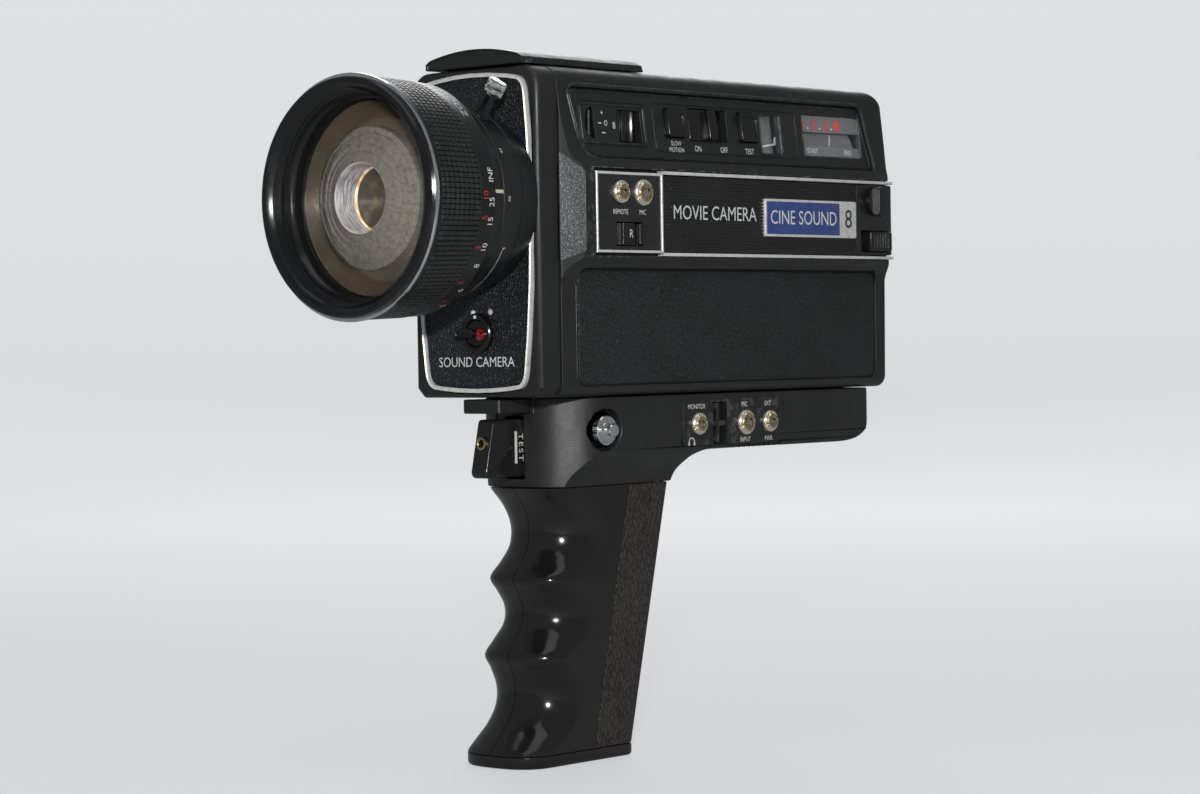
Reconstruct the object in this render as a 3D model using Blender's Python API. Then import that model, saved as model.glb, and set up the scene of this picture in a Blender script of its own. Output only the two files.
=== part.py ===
"""Super 8 sound cine camera with a zoom lens and a battery grip.

Every size below is in millimetres. The sizes are taken from the lens frame: x = 0 is the middle plane of
the lens, y = 0 is the face of the front plate and z = 0 is the lens axis. One empty carries that frame to
the part's own origin, the mouth of the tripod bush under the grip, with +Z up and the lens towards -Y.
The control side is +X and the film door is on -X.
"""

import math

import bmesh
import bpy
from mathutils import Matrix, Vector

MM = 0.001
GAP = 0.3  # clearance between pieces that touch
LENS_HEIGHT = 172.0  # lens axis above the underside of the base
BUSH_SETBACK = 12.0  # tripod bush behind the front plate

# body
SPLIT = 0.15  # half the seam between the two side casings
CASING_FRONT = 9.0
CASING_REAR = 172.0
CASING_TOP = 40.3
CASING_BOTTOM = -59.5
SHOULDER = 6.5
WALL = 2.0
WAIST = 26.7  # half width at the leather panel
BAND_OUT = 31.2  # half width over the band
BAND_SEAT = 28.0  # half width of the wall behind the band
BAND_TOP = 9.5
BAND_BOTTOM = -17.0
NOSE_FRONT = 14.6  # front end of the band

# controls on the slanted panel, as (front, rear, bottom, top)
PANEL = (15.8, 161.5, 13.8, 33.0)
SLOW_WINDOW = (58.3, 67.6, 20.2, 29.5)
POWER_WINDOW = (70.0, 88.9, 19.6, 30.0)
TEST_WINDOW = (94.5, 104.2, 20.0, 29.7)
METER_WINDOW = (106.3, 116.7, 16.9, 29.8)
COUNTER_WINDOW = (128.6, 159.5, 16.9, 30.6)
WHEEL_WINDOW = (33.2, 46.8, 17.8, 27.9)
DIAL_WINDOW = (20.4, 25.4, 18.8, 28.2)

# controls on the band
MODE_WINDOW = (30.0, 42.5, -13.9, -6.6)
LEVEL_WINDOW = (154.3, 169.5, -14.4, -7.3)
REMOTE_JACK = (31.8, 2.5)
MIC_JACK = (42.1, 2.5)
SOUND_KNOB = (160.8, 2.5)

# sockets of the lower chassis
LOWER_SIDE = 24.5
MONITOR_JACK = (74.6, -69.2)
INPUT_JACK = (98.2, -69.4)
POWER_JACK = (110.6, -69.4)
PLUG_SLOT = (82.3, 89.6, -76.0, -62.8)
LOCK_BUTTON = (31.4, -69.9)

# lens, as distances along the axis from the front plate
RIM_FRONT = -55.0
RIM_RADIUS = 35.0
FOCUS_FRONT = -53.3
FOCUS_REAR = -26.8
INDEX_FRONT = -26.5
ZOOM_FRONT = -20.0
ZOOM_REAR = -9.4
CONE_RADIUS = 26.3
ZOOM_ANGLE = 54.0  # of the lever above the side, in degrees

# grip, leaning with its foot forward
GRIP_TOP = -87.5
GRIP_FOOT = -168.0
GRIP_HALF = 15.6
GRIP_REAR = 72.0
GRIP_LEAN = 0.2385
PAD_DEPTH = 20.0
PAD_SIDE = 0.8  # thickness of the pad on the sides
PAD_BACK = 1.6  # and behind
BAY_HALF = 14.0
BAY_DEPTH = 29.0
CELL_RADIUS = 6.9
CELL_LENGTH = 50.0
RIDGES = ((GRIP_TOP, 15.0), (-115.4, 14.2), (-139.1, 11.2), (GRIP_FOOT, 2.6))
FINGER_DEPTHS = (7.0, 5.5, 7.0)

# hinges and axes
DOOR = (42.0, 150.0, -53.0, 24.0)
DOOR_HINGE = (-28.9, 43.7)
LATCH = (156.5, 2.0)
FINDER = (-11.0, 28.5)
MOTOR = (6.0, -42.0)
SHUTTER = (0.0, -17.0)
CAPSTAN = (62.0, -38.0)
SPINDLE = (95.0, 2.0)
NEEDLE = (120.5, 22.0)
COUNTER = (144.0, 12.0)
WHEEL = (20.6, 40.0)
DIAL = (25.7, 23.5)
FILTER = (0.9, -39.8)
HATCH = (14.0, 20.0, 49.2)  # half width, front, hinge line

FINISHES = {
    "black_plastic": ((0.035, 0.036, 0.037), 0.48, 0.0),
    "gloss_black": ((0.012, 0.012, 0.013), 0.15, 0.0),
    "satin_black": ((0.022, 0.023, 0.025), 0.38, 0.0),
    "leather_black": ((0.030, 0.031, 0.036), 0.70, 0.0),
    "grip_leather": ((0.075, 0.070, 0.066), 0.75, 0.0),
    "silver_trim": ((0.72, 0.72, 0.70), 0.30, 1.0),
    "granular_grey": ((0.16, 0.16, 0.17), 0.85, 0.0),
    "chrome": ((0.80, 0.80, 0.80), 0.10, 1.0),
    "nickel_brass": ((0.70, 0.64, 0.50), 0.22, 1.0),
    "cast_metal": ((0.35, 0.35, 0.36), 0.45, 1.0),
    "steel": ((0.55, 0.55, 0.56), 0.35, 1.0),
    "optical_glass": ((0.90, 0.93, 0.95), 0.02, 0.0),
    "board_green": ((0.05, 0.18, 0.10), 0.45, 0.0),
    "white_mark": ((0.80, 0.80, 0.78), 0.50, 0.0),
    "rubber": ((0.020, 0.020, 0.020), 0.85, 0.0),
}


def clear_scene():
    for item in list(bpy.data.objects):
        bpy.data.objects.remove(item, do_unlink=True)


def finish_of(name):
    """The named Principled material, made once."""
    if name in bpy.data.materials:
        return bpy.data.materials[name]
    colour, roughness, metallic = FINISHES[name]
    material = bpy.data.materials.new(name)
    material.use_nodes = True
    shader = material.node_tree.nodes["Principled BSDF"]
    shader.inputs["Base Color"].default_value = (*colour, 1.0)
    shader.inputs["Roughness"].default_value = roughness
    shader.inputs["Metallic"].default_value = metallic
    return material


def lens_frame():
    """The empty that carries the lens frame to the part's origin."""
    datum = bpy.data.objects.new("lens_frame", None)
    bpy.context.scene.collection.objects.link(datum)
    datum.location = (0.0, -BUSH_SETBACK * MM, LENS_HEIGHT * MM)
    return datum


# ---------------------------------------------------------------- outlines


def arc(centre, radius, start, end, steps):
    """Points of an arc, with both ends, from start to end degrees."""
    points = []
    for i in range(steps + 1):
        angle = math.radians(start + (end - start) * i / steps)
        points.append((centre[0] + radius * math.cos(angle), centre[1] + radius * math.sin(angle)))
    return points


def rectangle(low_a, high_a, low_b, high_b, radius=0.0, steps=3):
    """Rectangle with round corners, anticlockwise from the lower left."""
    if radius <= 0.0:
        return [(low_a, low_b), (high_a, low_b), (high_a, high_b), (low_a, high_b)]
    corners = (
        ((low_a + radius, low_b + radius), 180.0),
        ((high_a - radius, low_b + radius), 270.0),
        ((high_a - radius, high_b - radius), 0.0),
        ((low_a + radius, high_b - radius), 90.0),
    )
    points = []
    for centre, start in corners:
        points += arc(centre, radius, start, start + 90.0, steps)
    return points


def bowed(start, end, bow, steps):
    """Points between two corners, both left out, pushed to the right of the way by up to bow."""
    run = (end[0] - start[0], end[1] - start[1])
    length = math.hypot(*run)
    side = (run[1] / length, -run[0] / length)
    points = []
    for i in range(1, steps):
        t = i / steps
        push = 4.0 * bow * t * (1.0 - t)
        points.append((start[0] + run[0] * t + side[0] * push, start[1] + run[1] * t + side[1] * push))
    return points


def rounded(points, radius, steps=3, sharp=25.0):
    """The outline with every corner sharper than the angle replaced by a curve."""
    result = []
    count = len(points)
    for i, corner in enumerate(points):
        here = Vector(corner)
        before = Vector(points[i - 1]) - here
        after = Vector(points[(i + 1) % count]) - here
        turn = 180.0 - math.degrees(before.angle(after))
        if turn < sharp:
            result.append(corner)
            continue
        first = here + before.normalized() * min(radius, before.length * 0.45)
        last = here + after.normalized() * min(radius, after.length * 0.45)
        for k in range(steps + 1):
            t = k / steps
            point = first * (1 - t) ** 2 + here * 2 * t * (1 - t) + last * t**2
            result.append((point.x, point.y))
    return result


def face_outline(grow, foot=21.0, head=20.0, low=-55.7, high=35.6, side=2.9, cap=2.2, sole=1.5):
    """The front plate's outline grown outwards: bowed sides, top and bottom, round corners."""
    foot, head, low, high = foot + grow, head + grow, low - grow, high + grow
    corners = ((-foot, low), (foot, low), (head, high), (-head, high))
    bows = (sole, side, cap, side)
    points = []
    for i, corner in enumerate(corners):
        following = corners[(i + 1) % 4]
        points.append(corner)
        points += bowed(corner, following, bows[i], 5)
    return rounded(points, 3.0 + grow, 2, 40.0)


# ---------------------------------------------------------------- solids


def place(axis, a, b, along):
    """The point of an outline (a, b) at a distance along the named axis."""
    return {"X": (along, a, b), "Y": (a, along, b), "Z": (a, b, along)}[axis]


def loft(rings):
    """Closed skin over rings of equal length, capped at both ends."""
    mesh = bmesh.new()
    loops = [[mesh.verts.new(point) for point in ring] for ring in rings]
    for lower, upper in zip(loops, loops[1:]):
        for i in range(len(lower)):
            k = (i + 1) % len(lower)
            mesh.faces.new((lower[i], lower[k], upper[k], upper[i]))
    mesh.faces.new(list(reversed(loops[0])))
    mesh.faces.new(loops[-1])
    bmesh.ops.recalc_face_normals(mesh, faces=mesh.faces)
    return mesh


def prism(outline, axis, start, end):
    return loft([[place(axis, a, b, along) for a, b in outline] for along in (start, end)])


def block(low, high):
    return prism(rectangle(low[0], high[0], low[1], high[1]), "Z", low[2], high[2])


def window_cutter(window, low_x, high_x, radius=0.8, grow=0.0):
    """Cutter through a side wall for a window given as (front, rear, bottom, top)."""
    front, rear, bottom, top = window
    outline = rectangle(front - grow, rear + grow, bottom - grow, top + grow, radius)
    return prism(outline, "X", low_x, high_x)


def turned(profile, axis, centre, segments):
    """Solid of revolution from a profile of (radius, along) points.

    The profile runs once round the section, or from the axis back to it, where its end radii are zero.
    """
    mesh = bmesh.new()
    middle = Vector(place(axis, centre[0], centre[1], 0.0))
    direction = Vector(place(axis, 0.0, 0.0, 1.0))
    side = Vector(place(axis, 1.0, 0.0, 0.0))
    chain = [mesh.verts.new(middle + side * radius + direction * along) for radius, along in profile]
    edges = [mesh.edges.new(pair) for pair in zip(chain, chain[1:])]
    if profile[0][0] > 0.0:
        edges.append(mesh.edges.new((chain[-1], chain[0])))
    bmesh.ops.spin(
        mesh, geom=chain + edges, cent=middle, axis=direction, steps=segments, angle=2.0 * math.pi
    )
    bmesh.ops.remove_doubles(mesh, verts=mesh.verts, dist=0.002)
    bmesh.ops.recalc_face_normals(mesh, faces=mesh.faces)
    return mesh


def rod(radius, axis, centre, start, end, segments=20):
    profile = ((0.0, start), (radius, start), (radius, end), (0.0, end))
    return turned(profile, axis, centre, segments)


def ring(inner, outer, axis, centre, start, end, segments=24):
    profile = ((inner, start), (outer, start), (outer, end), (inner, end))
    return turned(profile, axis, centre, segments)


class Builder:
    """Turns millimetre meshes into named objects under the lens frame."""

    def __init__(self, datum):
        self.datum = datum
        self.tools = 0

    def mesh_object(self, name, mesh, origin):
        bmesh.ops.translate(mesh, vec=-Vector(origin), verts=mesh.verts)
        bmesh.ops.scale(mesh, vec=(MM, MM, MM), verts=mesh.verts)
        data = bpy.data.meshes.new(name)
        mesh.to_mesh(data)
        mesh.free()
        item = bpy.data.objects.new(name, data)
        bpy.context.scene.collection.objects.link(item)
        item.parent = self.datum
        item.location = Vector(origin) * MM
        return item

    def add(self, name, mesh, finish, origin=(0.0, 0.0, 0.0), bevel=0.0, steps=1, smooth=False):
        """One named sub-part with its origin on its joint's axis, if it moves."""
        item = self.mesh_object(name, mesh, origin)
        item.data.materials.append(finish_of(finish))
        if bevel > 0.0:
            edge = item.modifiers.new("edge", "BEVEL")
            edge.width = bevel * MM
            edge.segments = steps
            edge.limit_method = "ANGLE"
            edge.angle_limit = math.radians(50.0)
        if smooth:
            item.data.shade_smooth()
            item.data.set_sharp_from_angle(angle=math.radians(35.0))
        return item

    def boolean(self, item, tool_mesh, operation):
        self.tools += 1
        tool = self.mesh_object(f"tool_{self.tools:03d}", tool_mesh, (0.0, 0.0, 0.0))
        tool.display_type = "WIRE"
        tool.hide_render = True
        step = item.modifiers.new(operation.lower(), "BOOLEAN")
        step.operation = operation
        step.object = tool

    def cut(self, item, *tools):
        for tool in tools:
            self.boolean(item, tool, "DIFFERENCE")

    def join(self, item, *tools):
        for tool in tools:
            self.boolean(item, tool, "UNION")

    def keep(self, item, tool):
        self.boolean(item, tool, "INTERSECT")


# ---------------------------------------------------------------- casings


def control_side_section():
    """Section of the control side from the top seam, over the shoulder and band, to the bottom seam."""
    shoulder = (19.5, CASING_TOP - SHOULDER)
    foot = (WAIST - 4.0, CASING_BOTTOM + 4.0)
    return (
        [(SPLIT, CASING_BOTTOM)]
        + arc(foot, 4.0, -90.0, 0.0, 3)
        + [(WAIST, -20.6), (27.3, -19.6), (28.6, -18.5), (30.6, -17.9), (30.6, BAND_BOTTOM)]
        + [(BAND_SEAT, BAND_BOTTOM), (BAND_SEAT, BAND_TOP), (30.6, BAND_TOP), (30.6, 10.6), (28.9, 12.6)]
        + arc(shoulder, SHOULDER, 0.0, 90.0, 4)
        + [(SPLIT, CASING_TOP)]
    )


def film_side_section():
    """Section of the film side, as x < 0: a plain wall that swells a little at mid height."""
    shoulder = (-19.5, CASING_TOP - SHOULDER)
    foot = (-WAIST + 4.0, CASING_BOTTOM + 4.0)
    return (
        [(-SPLIT, CASING_TOP)]
        + arc(shoulder, SHOULDER, 90.0, 180.0, 4)
        + [(-28.5, 12.0), (-28.5, -20.0), (-WAIST, -36.0)]
        + arc(foot, 4.0, 180.0, 270.0, 3)
        + [(-SPLIT, CASING_BOTTOM)]
    )


def inner_section(sign):
    """Section of the hollow in one casing, open at the seam."""
    top = CASING_TOP - WALL
    bottom = CASING_BOTTOM + WALL
    outline = [(-2.0, top), (18.5, top), (23.2, top - 4.5), (26.0, 12.0), (26.0, -17.5), (24.7, -22.0)]
    outline += [(24.7, bottom + 3.0), (22.0, bottom), (-2.0, bottom)]
    return [(sign * x, z) for x, z in outline]


def left_casing(make):
    """Control side shell, with the control opening, the leather recess and the band's windows."""
    item = make.add(
        "left_casing",
        prism(control_side_section(), "Y", CASING_FRONT, CASING_REAR),
        "black_plastic",
    )
    make.cut(item, prism(inner_section(1.0), "Y", CASING_FRONT - 2.0, CASING_REAR - WALL))
    nose = [(WAIST, 8.0), (40.0, 8.0), (40.0, 27.0)]
    make.cut(item, prism(nose, "Z", -58.0, 30.0))
    front, rear, bottom, top = PANEL
    opening = (front - GAP, rear + GAP, bottom - GAP, top + GAP)
    make.cut(item, window_cutter(opening, 20.0, 35.0, 2.0))
    make.cut(item, window_cutter((20.7, 166.3, -56.1, -20.7), 25.7, 35.0, 3.0))
    for window in (MODE_WINDOW, LEVEL_WINDOW):
        make.cut(item, window_cutter(window, 24.0, 30.0, 0.0, 0.2))
    for y, z in (REMOTE_JACK, MIC_JACK):
        make.cut(item, rod(3.4, "X", (y, z), 24.0, 30.0, 16))
    make.cut(item, rod(1.9, "X", SOUND_KNOB, 24.0, 30.0, 12))


def right_casing(make):
    """Film side shell, with the film door's opening and the finder's hole."""
    item = make.add(
        "right_casing",
        prism(film_side_section(), "Y", CASING_FRONT, CASING_REAR),
        "black_plastic",
    )
    make.cut(item, prism(inner_section(-1.0), "Y", CASING_FRONT - 2.0, CASING_REAR - WALL))
    make.cut(item, window_cutter(DOOR, -35.0, -20.0, 2.5))
    make.cut(item, rod(7.3, "Y", FINDER, 160.0, 180.0, 20))
    y, z = LATCH
    make.cut(item, block((-35.0, y - 1.7, z - 1.6), (-20.0, y + 5.6, z + 1.6)))


def film_door(make):
    """Door over the film chamber, hinged along its front edge, with a barrel for the hinge pin."""
    front, rear, bottom, top = DOOR
    skin = [(-26.2, top), (-28.5, 12.0), (-28.5, -20.0), (-WAIST, -36.0), (-WAIST, bottom)]
    lining = [(x + 2.2, z) for x, z in reversed(skin)]
    door = prism(skin + lining, "Y", front + GAP, rear - GAP)
    item = make.add("film_door", door, "black_plastic", (DOOR_HINGE[0], DOOR_HINGE[1], 0.0))
    make.keep(item, window_cutter(DOOR, -35.0, -20.0, 2.2, -GAP))
    make.join(item, rod(1.3, "Z", DOOR_HINGE, -16.0, 8.0, 12))


def door_latch(make):
    """Sliding catch: a ridged key outside, a stem through the wall and a tongue behind the door."""
    y, z = LATCH
    key = block((-31.2, y - 3.5, z - 6.0), (-28.8, y + 3.5, z + 6.0))
    item = make.add("door_latch", key, "satin_black", (-30.0, y, z), 0.6)
    stem = block((-30.0, y - 1.3, z - 1.3), (-24.2, y + 1.3, z + 1.3))
    tongue = block((-25.7, y - 8.5, z - 1.3), (-24.2, y + 1.0, z + 1.3))
    make.join(item, stem, tongue)


def control_panel(make):
    """Slanted panel in the control side's opening, with a window for each control."""
    front, rear, bottom, top = PANEL
    section = [(25.4, top), (23.8, top), (26.2, bottom), (27.8, bottom)]
    item = make.add("control_panel", prism(section, "Y", front - 2.0, rear + 2.0), "satin_black")
    make.keep(item, window_cutter(PANEL, 20.0, 35.0, 1.8))
    for window in (SLOW_WINDOW, POWER_WINDOW, TEST_WINDOW, METER_WINDOW, COUNTER_WINDOW, WHEEL_WINDOW):
        make.cut(item, window_cutter(window, 20.0, 32.0))
    half_moon = arc((DIAL_WINDOW[1], DIAL[1]), 4.9, 90.0, 270.0, 8)
    make.cut(item, prism(half_moon, "X", 20.0, 32.0))
    return item


def band(make):
    """Ribbed rail along the side and the bright frame round it."""
    rail = make.add(
        "band_panel",
        block((BAND_SEAT + GAP, NOSE_FRONT + 0.4, BAND_BOTTOM + 1.5), (30.9, 171.3, BAND_TOP - 1.5)),
        "satin_black",
    )
    for start in (20.3, 50.8):
        make.cut(rail, block((29.9, start, -20.0), (35.0, start + 1.7, 12.0)))
    for window in (MODE_WINDOW, LEVEL_WINDOW):
        make.cut(rail, window_cutter(window, 26.0, 35.0, 0.0))
    for y, z in (REMOTE_JACK, MIC_JACK):
        make.cut(rail, rod(3.4, "X", (y, z), 26.0, 35.0))
    make.cut(rail, rod(1.9, "X", SOUND_KNOB, 26.0, 35.0, 12))

    strip = (29.0, BAND_OUT)
    trim = make.add(
        "band_trim",
        block((strip[0], NOSE_FRONT + 0.4, BAND_TOP - 1.2), (strip[1], 171.3, BAND_TOP - GAP)),
        "silver_trim",
    )
    bottom_strip = block(
        (strip[0], NOSE_FRONT + 0.4, BAND_BOTTOM + GAP), (strip[1], 171.3, BAND_BOTTOM + 1.2)
    )
    uprights = [
        block((30.2, start + GAP, BAND_BOTTOM + 0.6), (strip[1], start + 1.4, BAND_TOP - 0.6))
        for start in (20.3, 50.8)
    ]
    make.join(trim, uprights[0], uprights[1], bottom_strip)

    wedge = [(BAND_SEAT + GAP, 11.3), (30.9, 14.6), (BAND_SEAT + GAP, 14.6)]
    make.add("band_nose", prism(wedge, "Z", BAND_BOTTOM + 0.4, BAND_TOP - 0.4), "granular_grey")


def side_trim(make):
    outline = rectangle(21.0, 166.0, -55.8, -21.0, 2.8)
    make.add("leather_panel", prism(outline, "X", 26.0, WAIST), "leather_black")


# ---------------------------------------------------------------- front and top


def front_housing(make):
    """Bezel shell that widens from the front plate to the casings."""
    face = face_outline(3.0, low=-54.6, sole=1.2, cap=1.3)
    back = face_outline(0.0, 25.9, 24.6, -57.9, 39.3, 1.0, 0.6, 1.2)
    rings = [
        [(x, 0.0, z) for x, z in face_outline(2.3, low=-54.6, sole=1.2, cap=1.3)],
        [(x, 1.0, z) for x, z in face],
        [(x, CASING_FRONT - GAP, z) for x, z in back],
    ]
    item = make.add("front_housing", loft(rings), "black_plastic")
    hollow = face_outline(-0.2, 23.0, 22.0, -55.5, 36.5, 1.0, 0.4, 1.0)
    make.cut(item, prism(hollow, "Y", 3.0, 12.0))
    make.cut(item, prism(face_outline(0.9), "Y", -1.0, 1.6))
    make.cut(item, rod(20.2, "Y", (0.0, 0.0), -2.0, 12.0, 32))
    make.cut(item, rod(1.9, "Y", FILTER, -2.0, 12.0, 12))


def front_plate(make):
    plate = make.add("front_plate", prism(face_outline(-0.7), "Y", 0.1, 1.3), "leather_black")
    make.cut(plate, rod(20.2, "Y", (0.0, 0.0), -2.0, 3.0, 32))
    make.cut(plate, rod(1.9, "Y", FILTER, -2.0, 3.0, 12))
    trim = make.add("front_trim", prism(face_outline(0.6), "Y", -0.3, 1.3), "silver_trim")
    make.cut(trim, prism(face_outline(-0.4), "Y", -2.0, 3.0))


def top_fairing(make):
    """Low bowed housing over the finder's front part, cut away at the rear."""
    section = [(-20.0, 40.6), (20.0, 40.6), (20.0, 43.4)] + bowed((20.0, 43.4), (-20.0, 43.4), 2.6, 8)
    section.append((-20.0, 43.4))
    rings = []
    for along, rise in ((1.0, 1.0), (53.0, 1.0), (56.0, 0.0)):
        rings.append([(x, along, 40.6 + (z - 40.6) * max(rise, 0.12)) for x, z in section])
    make.add("top_fairing", loft(rings), "black_plastic")
    cap = ((0.0, 40.6), (4.7, 40.6), (4.7, 44.4), (3.6, 45.7), (1.9, 46.4), (0.0, 46.5))
    make.add("top_cap", turned(cap, "Z", (0.0, 66.2), 16), "black_plastic", smooth=True)


# ---------------------------------------------------------------- lens


def fixed_lens(make):
    """The fixed barrel, with the index flange, the cone against the plate and the long neck."""
    profile = (
        (21.4, -36.0),
        (24.1, -36.0),
        (24.1, INDEX_FRONT),
        (31.6, INDEX_FRONT),
        (30.2, ZOOM_FRONT - GAP),
        (24.1, ZOOM_FRONT - GAP),
        (24.1, ZOOM_REAR + GAP),
        (27.9, ZOOM_REAR + GAP),
        (CONE_RADIUS, -0.6),
        (19.7, -0.6),
        (19.7, 37.0),
        (17.7, 37.0),
        (17.7, -2.0),
        (21.4, -4.0),
    )
    barrel = turned(profile, "Y", (0.0, 0.0), 32)
    make.add("lens_barrel", barrel, "satin_black", smooth=True)


def focusing_lens(make):
    """The turning front group: ring, rim and front element on their threaded carrier."""
    helicoid = ring(24.4, 30.7, "Y", (0.0, 0.0), -35.5, -27.2, 32)
    make.add("focus_helicoid", helicoid, "cast_metal", smooth=True)
    profile = (
        (32.3, FOCUS_FRONT),
        (35.7, FOCUS_FRONT),
        (35.7, -50.2),
        (35.3, -49.8),
        (34.7, -33.0),
        (34.5, FOCUS_REAR),
        (31.0, FOCUS_REAR),
        (31.0, -38.6),
        (32.3, -39.4),
    )
    make.add("focus_ring", turned(profile, "Y", (0.0, 0.0), 36), "satin_black", smooth=True)
    rim = (
        (31.4, RIM_FRONT),
        (34.4, RIM_FRONT),
        (RIM_RADIUS, RIM_FRONT + 0.5),
        (RIM_RADIUS, FOCUS_FRONT - GAP),
        (32.0, FOCUS_FRONT - GAP),
        (32.0, -40.0),
        (28.9, -40.0),
        (28.9, -47.0),
        (30.0, -47.4),
        (31.0, -53.6),
    )
    make.add("filter_rim", turned(rim, "Y", (0.0, 0.0), 36), "gloss_black", smooth=True)
    glass = ((0.0, -47.2), (12.0, -46.8), (21.0, -45.7), (28.5, -43.8), (28.5, -40.6), (0.0, -37.4))
    make.add("front_element", turned(glass, "Y", (0.0, 0.0), 32), "optical_glass", smooth=True)


def zooming_lens(make):
    """Zoom ring with its lever, and the sliding lens group inside the barrel."""
    profile = ((24.4, ZOOM_FRONT), (30.1, ZOOM_FRONT), (27.9, ZOOM_REAR), (24.4, ZOOM_REAR))
    make.add("zoom_ring", turned(profile, "Y", (0.0, 0.0), 32), "satin_black", smooth=True)
    stalk = block((-1.4, -16.6, 29.6), (1.4, -13.4, 38.2))
    turn = Matrix.Rotation(math.radians(90.0 - ZOOM_ANGLE), 3, "Y")
    bmesh.ops.rotate(stalk, verts=stalk.verts, cent=(0.0, 0.0, 0.0), matrix=turn)
    lever = make.add("zoom_lever", stalk, "chrome")
    knob = ((0.0, 37.6), (2.5, 37.6), (2.8, 38.0), (2.8, 41.4), (2.4, 41.8), (0.0, 41.8))
    head = turned(knob, "Z", (0.0, -15.0), 16)
    bmesh.ops.rotate(head, verts=head.verts, cent=(0.0, 0.0, 0.0), matrix=turn)
    make.join(lever, head)
    group = ((0.0, -30.0), (17.0, -28.5), (21.0, -28.5), (21.0, -20.0), (17.0, -20.0), (0.0, -21.5))
    make.add("variator_group", turned(group, "Y", (0.0, 0.0), 24), "optical_glass", smooth=True)


# ---------------------------------------------------------------- controls


def push_button(make, name, window, proud):
    """Rectangular button standing proud of the slanted panel."""
    front, rear, bottom, top = window
    middle = ((front + rear) / 2, (bottom + top) / 2)
    body = block((22.6, front + GAP, bottom + GAP), (proud, rear - GAP, top - GAP))
    make.add(name, body, "black_plastic", (proud, *middle), 0.6)


def panel_controls(make):
    push_button(make, "slow_motion_button", SLOW_WINDOW, 28.4)
    push_button(make, "test_button", TEST_WINDOW, 28.4)

    front, rear, bottom, top = POWER_WINDOW
    slab = block((23.0, front + GAP, bottom + GAP), (26.9, front + 12.4, top - GAP))
    switch = make.add("power_switch", slab, "black_plastic", (27.0, front + 6.0, 24.8), 0.5)
    make.join(switch, block((26.0, front + 7.6, bottom + GAP), (28.6, front + 12.0, top - GAP)))

    dial = rod(5.5, "X", DIAL, 22.4, 24.0, 20)
    make.add("exposure_dial", dial, "gloss_black", (23.4, *DIAL), smooth=True)
    wheel = rod(6.5, "Z", WHEEL, WHEEL_WINDOW[2] + GAP, WHEEL_WINDOW[3] - GAP, 24)
    make.add("aperture_wheel", wheel, "gloss_black", (*WHEEL, 22.8), smooth=True)

    hub = rod(1.6, "X", NEEDLE, 21.4, 23.0, 10)
    needle = make.add("meter_needle", hub, "white_mark", (22.2, *NEEDLE))
    make.join(needle, block((22.2, 107.4, 20.8), (22.6, 120.0, 21.4)))
    disc = rod(18.4, "X", COUNTER, 22.2, 23.0, 32)
    make.add("counter_dial", disc, "white_mark", (22.6, *COUNTER), smooth=True)


def band_controls(make):
    front, rear, bottom, top = MODE_WINDOW
    slab = block((26.4, front + GAP, bottom + GAP), (30.8, front + 8.4, top - GAP))
    slide = make.add("run_mode_slide", slab, "black_plastic", (30.0, front + 4.0, -10.2))
    make.join(slide, block((30.0, front + 1.4, bottom + GAP), (32.2, front + 3.8, top - GAP)))

    front, rear, bottom, top = LEVEL_WINDOW
    key = block((26.4, front + 3.0, bottom + GAP), (32.4, rear - GAP, top - GAP))
    make.add("level_slide", key, "black_plastic", (30.0, rear - 6.0, -10.8), 0.5)

    profile = ((0.0, 24.0), (1.5, 24.0), (1.5, 31.3), (4.7, 31.3), (4.7, 33.6), (4.3, 34.0), (0.0, 34.0))
    knob = make.add("sound_knob", turned(profile, "X", SOUND_KNOB, 24), "gloss_black", (31.3, *SOUND_KNOB))
    y, z = SOUND_KNOB
    for side in (-1.0, 1.0):
        low, high = sorted((y + side * 0.9, y + side * 6.0))
        make.cut(knob, block((32.6, low, z - 6.0), (35.0, high, z + 6.0)))


def socket(make, name, centre, seat, nut, bore):
    """Screwed phone socket along X: nut outside the wall, threaded tube through it, open bore."""
    tube = nut - 0.9
    profile = (
        (0.0, seat - 6.0),
        (tube, seat - 6.0),
        (tube, seat + GAP),
        (nut, seat + GAP),
        (nut, seat + 1.5),
        (nut - 0.5, seat + 2.0),
        (bore, seat + 2.0),
        (bore, seat - 4.6),
        (0.0, seat - 4.6),
    )
    make.add(name, turned(profile, "X", centre, 16), "nickel_brass", smooth=True)


def sockets(make):
    socket(make, "remote_jack", REMOTE_JACK, 30.9, 3.5, 1.25)
    socket(make, "mic_jack", MIC_JACK, 30.9, 4.0, 1.8)
    socket(make, "monitor_jack", MONITOR_JACK, LOWER_SIDE, 3.5, 1.25)
    socket(make, "input_jack", INPUT_JACK, LOWER_SIDE, 4.0, 1.8)
    socket(make, "power_jack", POWER_JACK, LOWER_SIDE, 3.5, 1.25)


def filter_knob(make):
    """Lamp filter selector on the front plate: a disc with a raised pointer bar and a shaft."""
    profile = ((0.0, 11.5), (1.5, 11.5), (1.5, -0.2), (6.1, -0.2), (6.1, -1.6), (5.6, -2.0), (0.0, -2.0))
    disc = turned(profile, "Y", FILTER, 20)
    item = make.add("filter_knob", disc, "gloss_black", (FILTER[0], -1.0, FILTER[1]))
    x, z = FILTER
    make.join(item, block((x - 5.4, -4.2, z - 1.2), (x + 1.2, -1.0, z + 1.2)))


# ---------------------------------------------------------------- lower chassis and trigger


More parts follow.
